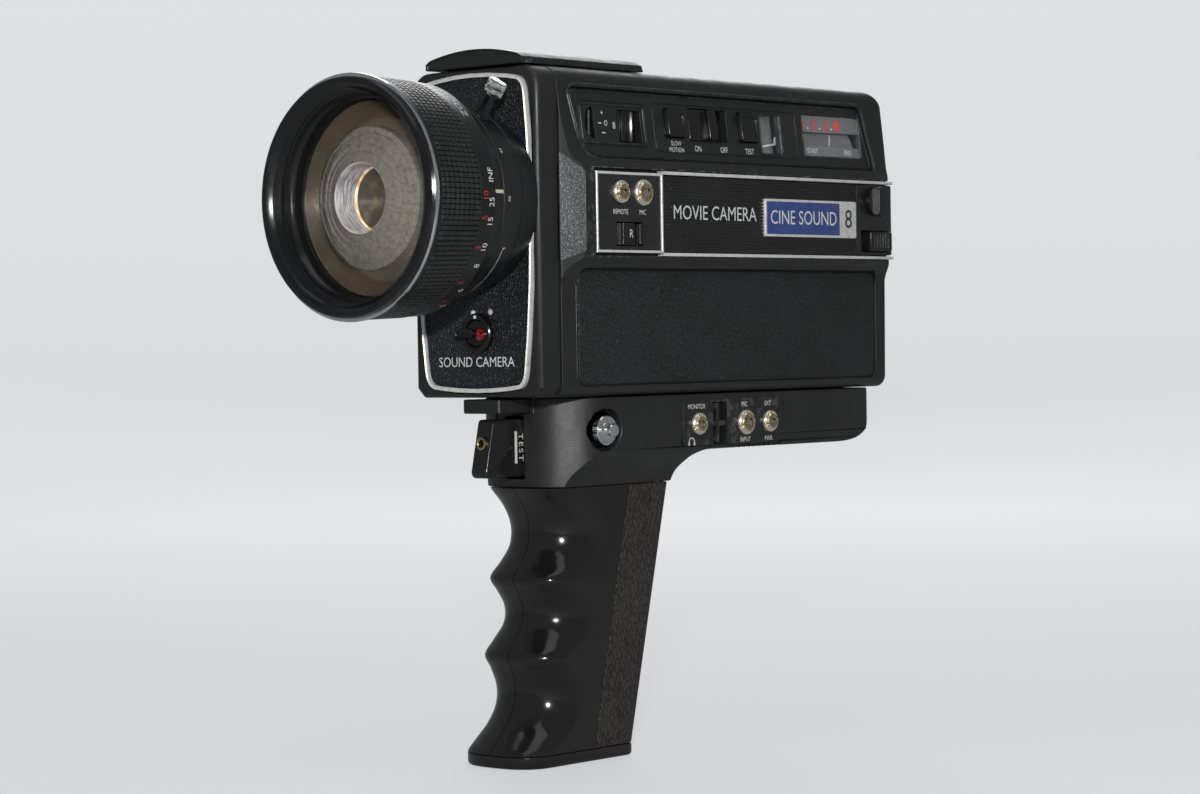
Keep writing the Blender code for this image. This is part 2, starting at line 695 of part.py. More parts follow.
def lower_chassis(make):
    """Saddle between body and grip, hollow from above, with the trigger's pocket in front."""
    side = [(12.4, -59.8), (12.4, GRIP_TOP + GAP), (71.3, GRIP_TOP + GAP), (71.8, -83.0), (74.5, -79.0)]
    side += [(80.0, -77.5), (157.0, -77.5), (163.5, -75.0), (167.3, -68.0), (168.0, -59.8)]
    body = prism(side, "X", -LOWER_SIDE, LOWER_SIDE)
    item = make.add("lower_chassis", body, "cast_metal")
    flank = [(-LOWER_SIDE, -59.0), (-LOWER_SIDE, -73.0), (-23.6, -77.3), (-17.0, -84.6), (-16.2, -88.0)]
    flank += [(-x, z) for x, z in reversed(flank)]
    make.keep(item, prism(flank, "Y", 0.0, 180.0))
    nose = [(-10.0, 12.0), (10.0, 12.0), (18.0, 15.0), (23.0, 20.5), (25.5, 30.0), (25.5, 170.0)]
    nose += [(-x, y) for x, y in reversed(nose)][:-2]
    make.keep(item, prism(nose, "Z", -90.0, -50.0))
    make.join(item, block((-22.0, 1.4, -64.2), (22.0, 24.0, -59.8)))
    make.cut(item, block((-22.0, 28.0, -75.0), (22.0, 164.5, -50.0)))
    make.cut(item, block((-13.0, 30.0, -95.0), (13.0, 66.0, -70.0)))
    make.cut(item, block((-7.5, 0.0, -84.2), (7.5, 26.5, -64.2 - 1.3)))
    front, rear, bottom, top = PLUG_SLOT
    make.cut(item, block((21.0, front, bottom), (30.0, rear, top)))
    for y, z in (MONITOR_JACK, INPUT_JACK, POWER_JACK):
        make.cut(item, rod(3.4, "X", (y, z), 15.0, 30.0, 16))
    make.cut(item, rod(4.8, "X", LOCK_BUTTON, 17.8, 30.0, 20))


def lock_button(make):
    profile = ((0.0, 16.0), (1.5, 16.0), (1.5, 21.2), (4.2, 21.2), (4.2, 23.4), (2.1, 23.4), (2.1, 27.6))
    button = turned((*profile, (1.7, 28.0), (0.0, 28.0)), "X", LOCK_BUTTON, 16)
    make.add("lock_button", button, "chrome", (24.0, *LOCK_BUTTON), smooth=True)


def trigger(make):
    """Sprung trigger that slides back into the saddle, with the cable release bush in its face."""
    outline = [(-0.6, -66.0), (-4.0, -80.6), (-3.2, -82.8), (-1.0, -83.6), (18.0, -83.6), (18.0, -66.0)]
    body = make.add("trigger", prism(outline, "X", -7.0, 7.0), "gloss_black", (0.0, 0.0, -75.0), 0.8)
    make.cut(body, rod(2.3, "Y", (0.0, -73.2), -8.0, 9.0, 16))
    bush = ((1.2, -1.6), (2.0, -1.6), (2.0, 8.0), (0.0, 8.0), (0.0, 5.0), (1.2, 5.0))
    socket_bush = turned(tuple(reversed(bush)), "Y", (0.0, -73.2), 16)
    make.add("release_socket", socket_bush, "nickel_brass", (0.0, 0.0, -73.2), smooth=True)


# ---------------------------------------------------------------- grip


def grip_front(z):
    """Front of the grip at a height: ridges with finger hollows between them."""
    for (high, high_y), (low, low_y), depth in zip(RIDGES, RIDGES[1:], FINGER_DEPTHS):
        if z >= low or low == GRIP_FOOT:
            t = min(max((high - z) / (high - low), 0.0), 1.0)
            return high_y + (low_y - high_y) * t + depth * math.sin(math.pi * t) ** 0.85
    return RIDGES[-1][1]


def grip_rear(z):
    return GRIP_REAR + GRIP_LEAN * (z - GRIP_TOP)


def nose_points(z, half):
    """Round front of the grip's plan from the middle to the full half width."""
    front = grip_front(z)
    depth = 17.0
    points = []
    for i in range(1, 6):
        angle = math.radians(90.0 * i / 5)
        points.append((half * math.sin(angle) ** 0.9, front + depth * (1.0 - math.cos(angle) ** 0.75)))
    return [(0.0, front)] + points


def grip_half_outline(z):
    """Plan of one grip half at x > 0, stepped in behind for the rear pad."""
    rear = grip_rear(z)
    step = rear - PAD_DEPTH
    inset = GRIP_HALF - PAD_SIDE - GAP
    back = rear - PAD_BACK - GAP
    outline = [(SPLIT, grip_front(z) + 0.01)] + nose_points(z, GRIP_HALF)[1:]
    outline += [(GRIP_HALF, step), (inset, step), (inset, back - 2.6), (inset - 3.2, back), (SPLIT, back)]
    return outline


def grip_levels():
    """Heights where the grip's skin has a ring: close in the finger hollows."""
    levels = []
    for (high, _), (low, _) in zip(RIDGES, RIDGES[1:]):
        levels += [high + (low - high) * i / 5 for i in range(5)]
    return levels + [GRIP_FOOT]


def bay_front(z):
    """Front wall of the battery bay, which leans with the grip's back."""
    return grip_rear(z) - PAD_BACK - GAP - 1.6 - BAY_DEPTH


def grip(make):
    """Two glossy halves round the battery bay, and the grained pad that wraps their back."""
    bay_rings = []
    for z in (GRIP_TOP - 14.0, GRIP_FOOT - 2.0):
        front = bay_front(z)
        plan = rectangle(-BAY_HALF, BAY_HALF, front, front + BAY_DEPTH)
        bay_rings.append([(x, y, z) for x, y in plan])
    for name, sign in (("grip_left", 1.0), ("grip_right", -1.0)):
        rings = [[(sign * x, y, z) for x, y in grip_half_outline(z)] for z in grip_levels()]
        half = make.add(name, loft(rings), "gloss_black", smooth=True)
        make.cut(half, loft(bay_rings), rod(3.5, "Z", (0.0, BUSH_SETBACK), -175.0, -164.6, 16))

    pad_rings = []
    for z in (GRIP_TOP, GRIP_FOOT):
        rear = grip_rear(z)
        outer = [(GRIP_HALF, rear - PAD_DEPTH + GAP), (GRIP_HALF, rear - 3.5), (GRIP_HALF - 1.2, rear - 1.0)]
        outer.append((GRIP_HALF - 3.8, rear))
        inner = [(GRIP_HALF - 4.2, rear - PAD_BACK), (GRIP_HALF - PAD_SIDE, rear - 4.2)]
        inner.append((GRIP_HALF - PAD_SIDE, rear - PAD_DEPTH + GAP))
        plan = outer + [(-x, y) for x, y in reversed(outer)]
        plan += [(-x, y) for x, y in reversed(inner)] + inner
        pad_rings.append([(x, y, z) for x, y in plan])
    make.add("grip_rear_pad", loft(pad_rings), "grip_leather")


def base(make):
    """Foot of the grip with the tripod bush in front and the battery hatch behind."""
    rear = grip_rear(GRIP_FOOT)
    half = nose_points(GRIP_FOOT, GRIP_HALF) + [(GRIP_HALF, rear - 3.5), (GRIP_HALF - 3.5, rear)]
    plan = half + [(-x, y) for x, y in reversed(half[1:])]
    foot = make.add("base_plate", prism(plan, "Z", -LENS_HEIGHT, GRIP_FOOT - GAP), "gloss_black")
    half_width, front, hinge = HATCH
    make.cut(foot, block((-half_width, front, -180.0), (half_width, hinge, -160.0)))
    make.cut(foot, rod(5.0, "Z", (0.0, BUSH_SETBACK), -180.0, -160.0))
    bush = ring(3.2, 4.7, "Z", (0.0, BUSH_SETBACK), -LENS_HEIGHT + 0.2, GRIP_FOOT - GAP, 20)
    make.add("tripod_bush", bush, "steel", smooth=True)
    low = -LENS_HEIGHT + GAP
    panel = block((-half_width + GAP, front + GAP, low), (half_width - GAP, hinge - GAP, low + 2.2))
    make.add("battery_hatch", panel, "gloss_black", (0.0, hinge, low))


def batteries(make):
    """Four penlight cells side by side, tied by the contact plate above them."""
    low = GRIP_FOOT + 0.8
    high = low + CELL_LENGTH
    lean = GRIP_LEAN * CELL_LENGTH
    cells = None
    for row in range(2):
        y = bay_front(low) + BAY_DEPTH / 2 + (row - 0.5) * (2.0 * CELL_RADIUS + 0.3)
        for side in (-1.0, 1.0):
            outline = arc((side * (CELL_RADIUS + 0.05), y), CELL_RADIUS, 0.0, 330.0, 11)
            rings = [[(x, b, low) for x, b in outline], [(x, b + lean, high) for x, b in outline]]
            cell = loft(rings)
            if cells is None:
                cells = make.add("battery_cells", cell, "steel", smooth=True)
            else:
                make.join(cells, cell)
    front = bay_front(high)
    contacts = block((-12.0, front + 2.0, high - 1.0), (12.0, front + BAY_DEPTH - 2.0, high + 1.5))
    make.join(cells, contacts)


# ---------------------------------------------------------------- mechanism


def chassis_frame(make):
    """Die-cast frame: front bulkhead across the body and the long plate beside the film chamber."""
    outline = [(-21.0, -56.5), (13.0, -56.5), (13.0, 37.8), (-17.5, 37.8), (-21.0, 34.5)]
    item = make.add("chassis_frame", prism(outline, "Y", 42.0, 45.0), "cast_metal")
    make.join(item, block((11.0, 43.0, -56.5), (13.0, 166.0, 37.8)))
    for y in (84.0, 156.0):
        for z in (-50.0, -12.0):
            make.join(item, rod(1.6, "X", (y, z), 12.0, 18.9, 8))
    make.cut(item, rod(6.0, "Y", (0.0, 0.0), 40.0, 50.0, 20))
    make.cut(item, rod(1.6, "X", CAPSTAN, 5.0, 20.0, 12))
    make.cut(item, rod(1.6, "X", SPINDLE, 5.0, 20.0, 12))
    make.cut(item, rod(7.3, "Y", FINDER, 40.0, 50.0, 20))
    gate = make.add("film_gate", block((-11.0, 45.3, -24.0), (10.7, 46.8, 12.0)), "steel")
    make.cut(gate, block((-2.9, 40.0, -2.1), (2.9, 50.0, 2.1)))


def mechanism(make):
    """Motor, shutter, capstan with flywheel, take-up spindle, sound head and circuit board."""
    motor = turned(
        ((0.0, 12.0), (11.0, 12.0), (11.0, 37.6), (1.4, 37.6), (1.4, 41.5), (0.0, 41.5)), "Y", MOTOR, 24
    )
    make.add("drive_motor", motor, "steel", smooth=True)
    disc = rod(19.5, "Y", SHUTTER, 38.3, 39.1, 32)
    shutter = make.add("shutter_disc", disc, "satin_black", (SHUTTER[0], 38.7, SHUTTER[1]))
    sector = [SHUTTER] + arc(SHUTTER, 25.0, 20.0, 160.0, 8)
    make.join(shutter, rod(2.0, "Y", SHUTTER, 37.9, 41.5, 12))
    make.cut(shutter, prism([(x, z) for x, z in lifted(sector, 3.5)], "Y", 36.0, 42.0))
    flywheel = ((0.0, -4.0), (1.2, -4.0), (1.2, 15.0), (13.0, 15.0), (13.0, 18.5), (0.0, 18.5))
    capstan = turned(flywheel, "X", CAPSTAN, 28)
    make.add("capstan", capstan, "steel", (15.0, *CAPSTAN), smooth=True)
    hub = ((0.0, 7.6), (5.0, 7.6), (5.0, 10.6), (1.3, 10.6), (1.3, 15.0), (8.0, 15.0), (8.0, 17.4), (0.0, 17.4))
    make.add("takeup_spindle", turned(hub, "X", SPINDLE, 24), "satin_black", (15.0, *SPINDLE), smooth=True)
    head = block((0.0, 52.0, -47.0), (10.7, 57.5, -40.0))
    make.add("sound_head", head, "steel", bevel=0.8)
    board = block((19.2, 50.0, -54.0), (20.8, 160.0, -8.0))
    make.add("circuit_board", board, "board_green")


def lifted(points, rise):
    """The outline moved up its second axis."""
    return [(a, b + rise) for a, b in points]


def viewfinder(make):
    """Finder tube with its optics through the body, the dioptre ring and the rubber cup."""
    profile = (
        (0.0, 38.0),
        (6.8, 38.0),
        (6.8, 172.4),
        (9.2, 172.4),
        (9.2, 175.4),
        (6.8, 175.4),
        (6.8, 183.0),
        (5.4, 183.0),
        (5.0, 181.0),
        (0.0, 180.4),
    )
    make.add("viewfinder_tube", turned(profile, "Y", FINDER, 20), "satin_black", smooth=True)
    dial = ring(7.2, 9.8, "Y", FINDER, 175.8, 180.0, 20)
    make.add("diopter_ring", dial, "black_plastic", (FINDER[0], 178.0, FINDER[1]), smooth=True)
    cup = (
        (7.1, 180.4),
        (9.4, 180.4),
        (9.8, 185.0),
        (11.9, 192.6),
        (11.3, 193.2),
        (10.2, 192.2),
        (8.2, 185.4),
        (7.1, 183.4),
    )
    make.add("eyecup", turned(cup, "Y", FINDER, 20), "rubber", smooth=True)


def build():
    clear_scene()
    make = Builder(lens_frame())
    left_casing(make)
    right_casing(make)
    film_door(make)
    door_latch(make)
    control_panel(make)
    band(make)
    side_trim(make)
    front_housing(make)
    front_plate(make)
    top_fairing(make)
    fixed_lens(make)
    focusing_lens(make)
    zooming_lens(make)
    panel_controls(make)
    band_controls(make)
    sockets(make)
    filter_knob(make)
    lower_chassis(make)
    lock_button(make)
    trigger(make)
    grip(make)
    base(make)
    batteries(make)
    chassis_frame(make)
    mechanism(make)
    viewfinder(make)


build()
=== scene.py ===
"""The look of a Super 8 sound cine camera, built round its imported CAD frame.

Shapes are made in the lens frame, in millimetres: x = 0 is the middle plane of the lens, y = 0 the face of
the front plate and z = 0 the lens axis. The lens frame's place comes from the CAD model.
"""

import math

import bmesh
import bpy
from mathutils import Matrix, Vector


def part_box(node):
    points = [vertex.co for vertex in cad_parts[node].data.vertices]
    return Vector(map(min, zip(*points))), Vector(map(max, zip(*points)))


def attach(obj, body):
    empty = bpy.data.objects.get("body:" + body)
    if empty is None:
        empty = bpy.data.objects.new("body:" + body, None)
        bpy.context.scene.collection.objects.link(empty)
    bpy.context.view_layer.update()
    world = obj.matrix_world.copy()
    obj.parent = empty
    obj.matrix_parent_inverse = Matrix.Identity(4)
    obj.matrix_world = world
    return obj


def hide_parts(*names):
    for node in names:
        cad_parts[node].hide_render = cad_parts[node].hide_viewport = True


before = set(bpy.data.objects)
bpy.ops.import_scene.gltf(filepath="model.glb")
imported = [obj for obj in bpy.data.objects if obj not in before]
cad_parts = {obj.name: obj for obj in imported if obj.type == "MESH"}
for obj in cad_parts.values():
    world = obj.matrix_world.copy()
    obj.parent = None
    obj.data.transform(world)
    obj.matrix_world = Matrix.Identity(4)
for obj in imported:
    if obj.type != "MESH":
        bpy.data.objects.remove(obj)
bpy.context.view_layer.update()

MM = 0.001
BARREL_LOW, BARREL_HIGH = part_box("lens_barrel")
DATUM = Vector((0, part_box("front_housing")[0].y, (BARREL_LOW.z + BARREL_HIGH.z) / 2))
FLOOR_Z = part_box("base_plate")[0].z

# the photograph's view, in the lens frame
VIEW_FROM = (646.7, -678.6, -42.1)
VIEW_AZIMUTH = 41.36
VIEW_PITCH = 1.07
VIEW_ROLL = -0.90
VIEW_LENS = 92.9

# lamps in watts
SURROUND_STRENGTH = 0.13
FLASH_POWER = 6.4
OVERHEAD_POWER = 3.6
FAR_SIDE_POWER = 9

SEAM = 0.12  # half the gap between two halves
PANEL_TILT = 7.24  # lean of the control wall, in degrees
PANEL_MIDDLE = (27.30, 23.5)  # x and z of the control wall's middle
SIDE = 26.7  # face of the leather wall
LOWER = 24.5  # side of the lower chassis


# ---------------------------------------------------------------- outlines


def arc(centre, radius, start, end, steps):
    points = []
    for i in range(steps + 1):
        angle = math.radians(start + (end - start) * i / steps)
        points.append((centre[0] + radius * math.cos(angle), centre[1] + radius * math.sin(angle)))
    return points


def rectangle(low_a, high_a, low_b, high_b, radius=0, steps=5):
    if radius <= 0:
        return [(low_a, low_b), (high_a, low_b), (high_a, high_b), (low_a, high_b)]
    corners = (((low_a + radius, low_b + radius), 180), ((high_a - radius, low_b + radius), 270),
        ((high_a - radius, high_b - radius), 0), ((low_a + radius, high_b - radius), 90))
    points = []
    for centre, start in corners:
        points += arc(centre, radius, start, start + 90, steps)
    return points


def bowed(start, end, bow, steps):
    """Points between two corners, both left out, pushed to the right of the way by up to bow."""
    run = (end[0] - start[0], end[1] - start[1])
    length = math.hypot(*run)
    side = (run[1] / length, -run[0] / length)
    points = []
    for i in range(1, steps):
        t = i / steps
        push = 4 * bow * t * (1 - t)
        points.append((start[0] + run[0] * t + side[0] * push, start[1] + run[1] * t + side[1] * push))
    return points


def rounded(points, radii, steps=6):
    """The outline with each corner curved by its own radius, or all by one."""
    result = []
    count = len(points)
    for i, corner in enumerate(points):
        radius = radii if isinstance(radii, (int, float)) else radii[i]
        if radius <= 0:
            result.append(corner)
            continue
        here = Vector(corner)
        before = Vector(points[i - 1]) - here
        after = Vector(points[(i + 1) % count]) - here
        first = here + before.normalized() * min(radius, before.length * 0.49)
        last = here + after.normalized() * min(radius, after.length * 0.49)
        for k in range(steps + 1):
            t = k / steps
            point = first * (1 - t) ** 2 + here * 2 * t * (1 - t) + last * t**2
            result.append((point.x, point.y))
    return result


def mirrored(half):
    """A half outline followed by its mirror image, back to the start."""
    return half + [(-a, b) for a, b in reversed(half)]


def toothed(centre, count, teeth):
    """Outline of a wheel whose teeth are (share of a tooth, radius) points."""
    points = []
    for i in range(count):
        for share, radius in teeth:
            angle = math.radians(360 * (i + share) / count)
            points.append((centre[0] + radius * math.cos(angle), centre[1] + radius * math.sin(angle)))
    return points


def area(points):
    total = 0
    for (a, b), (c, d) in zip(points, points[1:] + points[:1]):
        total += a * d - b * c
    return total / 2


def inset(points, distance):
    """The outline moved inwards by a small distance."""
    if distance == 0:
        return list(points)
    way = 1 if area(points) > 0 else -1
    moved = []
    for i, point in enumerate(points):
        here = Vector(point)
        before = (here - Vector(points[i - 1])).normalized()
        after = (Vector(points[(i + 1) % len(points)]) - here).normalized()
        normal = Vector((-before.y - after.y, before.x + after.x)) * way
        if normal.length < 1e-6:
            normal = Vector((-before.y, before.x)) * way
        normal.normalize()
        side = Vector((-before.y, before.x)) * way
        reach = distance / max(normal.dot(side), 0.5)
        moved.append(tuple(here + normal * reach))
    return moved


# ---------------------------------------------------------------- placing


def along_x(a, b, height):
    return Vector((height, a, b))


def along_y(a, b, height):
    return Vector((a, height, b))


def along_z(a, b, height):
    return Vector((a, b, height))


def on_panel(a, b, height):
    """a runs rearwards, b up the leaning control wall and height out of it."""
    tilt = math.radians(PANEL_TILT)
    up = (b - PANEL_MIDDLE[1]) / math.cos(tilt)
    return Vector((PANEL_MIDDLE[0] + height * math.cos(tilt) - up * math.sin(tilt), a,
        PANEL_MIDDLE[1] + up * math.cos(tilt) + height * math.sin(tilt)))


# ---------------------------------------------------------------- meshes


def loft(rings, closed=False):
    """Skin over rings of equal length, capped at both ends unless it closes on itself."""
    mesh = bmesh.new()
    loops = [[mesh.verts.new(point) for point in ring] for ring in rings]
    pairs = list(zip(loops, loops[1:]))
    if closed:
        pairs.append((loops[-1], loops[0]))
    for lower, upper in pairs:
        for i in range(len(lower)):
            k = (i + 1) % len(lower)
            mesh.faces.new((lower[i], lower[k], upper[k], upper[i]))
    if not closed:
        mesh.faces.new(list(reversed(loops[0])))
        mesh.faces.new(loops[-1])
    bmesh.ops.recalc_face_normals(mesh, faces=mesh.faces)
    return mesh


def slab(outline, axis, low, high, edge=0, foot=0, steps=3):
    """Plate from low to high with its edges rounded by edge at high and foot at low."""
    turns = [math.radians(90 * k / steps) for k in range(steps + 1)]
    levels = [(low, 0)]
    if foot > 0:
        levels = [(low + foot * (1 - math.cos(turn)), foot * (1 - math.sin(turn))) for turn in turns]
    if edge > 0:
        levels += [(high - edge * (1 - math.sin(turn)), edge * (1 - math.cos(turn))) for turn in turns]
    else:
        levels.append((high, 0))
    rings = []
    for height, shrink in levels:
        rings.append([axis(a, b, height) for a, b in inset(outline, shrink)])
    return loft(rings)


def frame_of(outline, width, axis, low, high, edge=0):
    """Flat ring between an outline and the same outline moved inwards."""
    inner = inset(outline, width)
    rings = [[axis(a, b, low) for a, b in outline], [axis(a, b, high - edge) for a, b in outline],
        [axis(a, b, high) for a, b in inset(outline, edge)],
        [axis(a, b, high) for a, b in inset(outline, width - edge)],
        [axis(a, b, high - edge) for a, b in inner], [axis(a, b, low) for a, b in inner]]
    if edge <= 0:
        rings = [rings[0], rings[1], rings[4], rings[5]]
    return loft(rings, closed=True)


def turned(profile, axis, centre, segments=64):
    """Solid of revolution from (radius, distance) points, run round the section or from axis to axis."""
    mesh = bmesh.new()
    loops = []
    for radius, distance in profile:
        if radius <= 0:
            loops.append([mesh.verts.new(axis(centre[0], centre[1], distance))])
            continue
        loop = []
        for i in range(segments):
            angle = 2 * math.pi * i / segments
            a = centre[0] + radius * math.cos(angle)
            b = centre[1] + radius * math.sin(angle)
            loop.append(mesh.verts.new(axis(a, b, distance)))
        loops.append(loop)
    pairs = list(zip(loops, loops[1:]))
    if profile[0][0] > 0:
        pairs.append((loops[-1], loops[0]))
    for lower, upper in pairs:
        for i in range(segments):
            k = (i + 1) % segments
            if len(lower) == 1 and len(upper) == 1:
                continue
            if len(lower) == 1:
                mesh.faces.new((lower[0], upper[k], upper[i]))
            elif len(upper) == 1:
                mesh.faces.new((lower[i], lower[k], upper[0]))
            else:
                mesh.faces.new((lower[i], lower[k], upper[k], upper[i]))
    bmesh.ops.recalc_face_normals(mesh, faces=mesh.faces)
    return mesh


def lens_turned(profile, segments=128):
    return turned(profile, along_y, (0, 0), segments)


def block(low, high):
    return slab(rectangle(low[0], high[0], low[1], high[1]), along_z, low[2], high[2])


def rod(radius, axis, centre, low, high, segments=32, edge=0):
    if edge > 0:
        profile = ((0, low), (radius - edge, low), (radius, low + edge), (radius, high - edge))
        profile += ((radius - edge, high), (0, high))
    else:
        profile = ((0, low), (radius, low), (radius, high), (0, high))
    return turned(profile, axis, centre, segments)


def joined(*meshes):
    """All the meshes in the first one, as separate shells."""
    target = meshes[0]
    for other in meshes[1:]:
        data = bpy.data.meshes.new("shell")
        other.to_mesh(data)
        other.free()
        target.from_mesh(data)
        bpy.data.meshes.remove(data)
    return target


def tilted(mesh, angle, axis, centre=(0, 0, 0)):
    turn = Matrix.Rotation(math.radians(angle), 3, axis)
    bmesh.ops.rotate(mesh, verts=mesh.verts, cent=centre, matrix=turn)
    return mesh


def object_of(name, mesh):
    """Object with the mesh moved from the lens frame to the CAD model's frame."""
    bmesh.ops.scale(mesh, vec=(MM, MM, MM), verts=mesh.verts)
    bmesh.ops.translate(mesh, vec=DATUM, verts=mesh.verts)
    data = bpy.data.meshes.new(name)
    mesh.to_mesh(data)
    mesh.free()
    item = bpy.data.objects.new(name, data)
    bpy.context.scene.collection.objects.link(item)
    return item


def booleaned(item, changes):
    """Applies (operation, mesh) pairs to the object, one after the other."""
    for operation, mesh in changes:
        tool = object_of("tool", mesh)
        step = item.modifiers.new("change", "BOOLEAN")
        step.operation = operation
        step.solver = "EXACT"
        step.object = tool
        bpy.context.view_layer.update()
        shaped = item.evaluated_get(bpy.context.evaluated_depsgraph_get())
        data = bpy.data.meshes.new_from_object(shaped)
        item.modifiers.clear()
        item.data = data
        bpy.data.objects.remove(tool, do_unlink=True)


def piece(name, mesh, look, body="camera_body", node=None, cuts=(), adds=(), keeps=(), bevel=0,
          bevel_steps=2, bevel_angle=35, crease=32, smooth=True):
    """One visible piece: its mesh changed by Booleans, bevelled, shaded and tied to its body."""
    item = object_of(name, mesh)
    changes = [("INTERSECT", m) for m in keeps] + [("UNION", m) for m in adds]
    changes += [("DIFFERENCE", m) for m in cuts]
    if changes:
        booleaned(item, changes)
    item.data.materials.clear()
    item.data.materials.append(LOOKS[look])
    if smooth:
        item.data.shade_smooth()
        item.data.set_sharp_from_angle(angle=math.radians(crease))
    if bevel > 0:
        step = item.modifiers.new("edge", "BEVEL")
        step.width = bevel * MM
        step.segments = bevel_steps
        step.limit_method = "ANGLE"
        step.angle_limit = math.radians(bevel_angle)
        step.use_clamp_overlap = False
        step.harden_normals = True
    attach(item, body)
    if node:
        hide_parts(node)
    return item


def dress(node, look):
    """A carried CAD node in one of the looks."""
    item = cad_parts[node]
    item.data.materials.clear()
    item.data.materials.append(LOOKS[look])


# ---------------------------------------------------------------- lettering


class Prints:
    """Printed marks, gathered in one mesh for each colour and body."""

    def __init__(self):
        self.meshes = {}

    def shape(self, colour, body, points, faces):
        mesh = self.meshes.setdefault((colour, body), bmesh.new())
        made = [mesh.verts.new(point) for point in points]
        for face in faces:
            try:
                mesh.faces.new([made[i] for i in face])
            except ValueError:
                pass

    def text(self, words, size, place, colour="paint_white", body="camera_body", width=0.85, spacing=1):
        """Words centred on the placing's origin; place maps (right, up) to a point of the lens frame."""
        curve = bpy.data.curves.new("words", "FONT")
        curve.body = words
        curve.size = size
        curve.align_x = "CENTER"
        curve.align_y = "CENTER"
        curve.space_character = spacing
        curve.resolution_u = 3
        item = bpy.data.objects.new("words", curve)
        bpy.context.scene.collection.objects.link(item)
        bpy.context.view_layer.update()
        shaped = item.evaluated_get(bpy.context.evaluated_depsgraph_get())
        data = bpy.data.meshes.new_from_object(shaped)
        points = [place(v.co.x * width, v.co.y) for v in data.vertices]
        self.shape(colour, body, points, [list(p.vertices) for p in data.polygons])
        bpy.data.meshes.remove(data)
        bpy.data.objects.remove(item, do_unlink=True)
        bpy.data.curves.remove(curve)

    def outline(self, outline, place, colour="paint_white", body="camera_body"):
        points = [place(a, b) for a, b in outline]
        self.shape(colour, body, points, [list(range(len(points)))])

    def finish(self):
        for (colour, body), mesh in self.meshes.items():
            bmesh.ops.recalc_face_normals(mesh, faces=mesh.faces)
            name = f"marks_{colour}_{body}"
            item = object_of(name, mesh)
            item.data.materials.append(LOOKS[colour])
            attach(item, body)


# ---------------------------------------------------------------- looks


LOOKS = {}


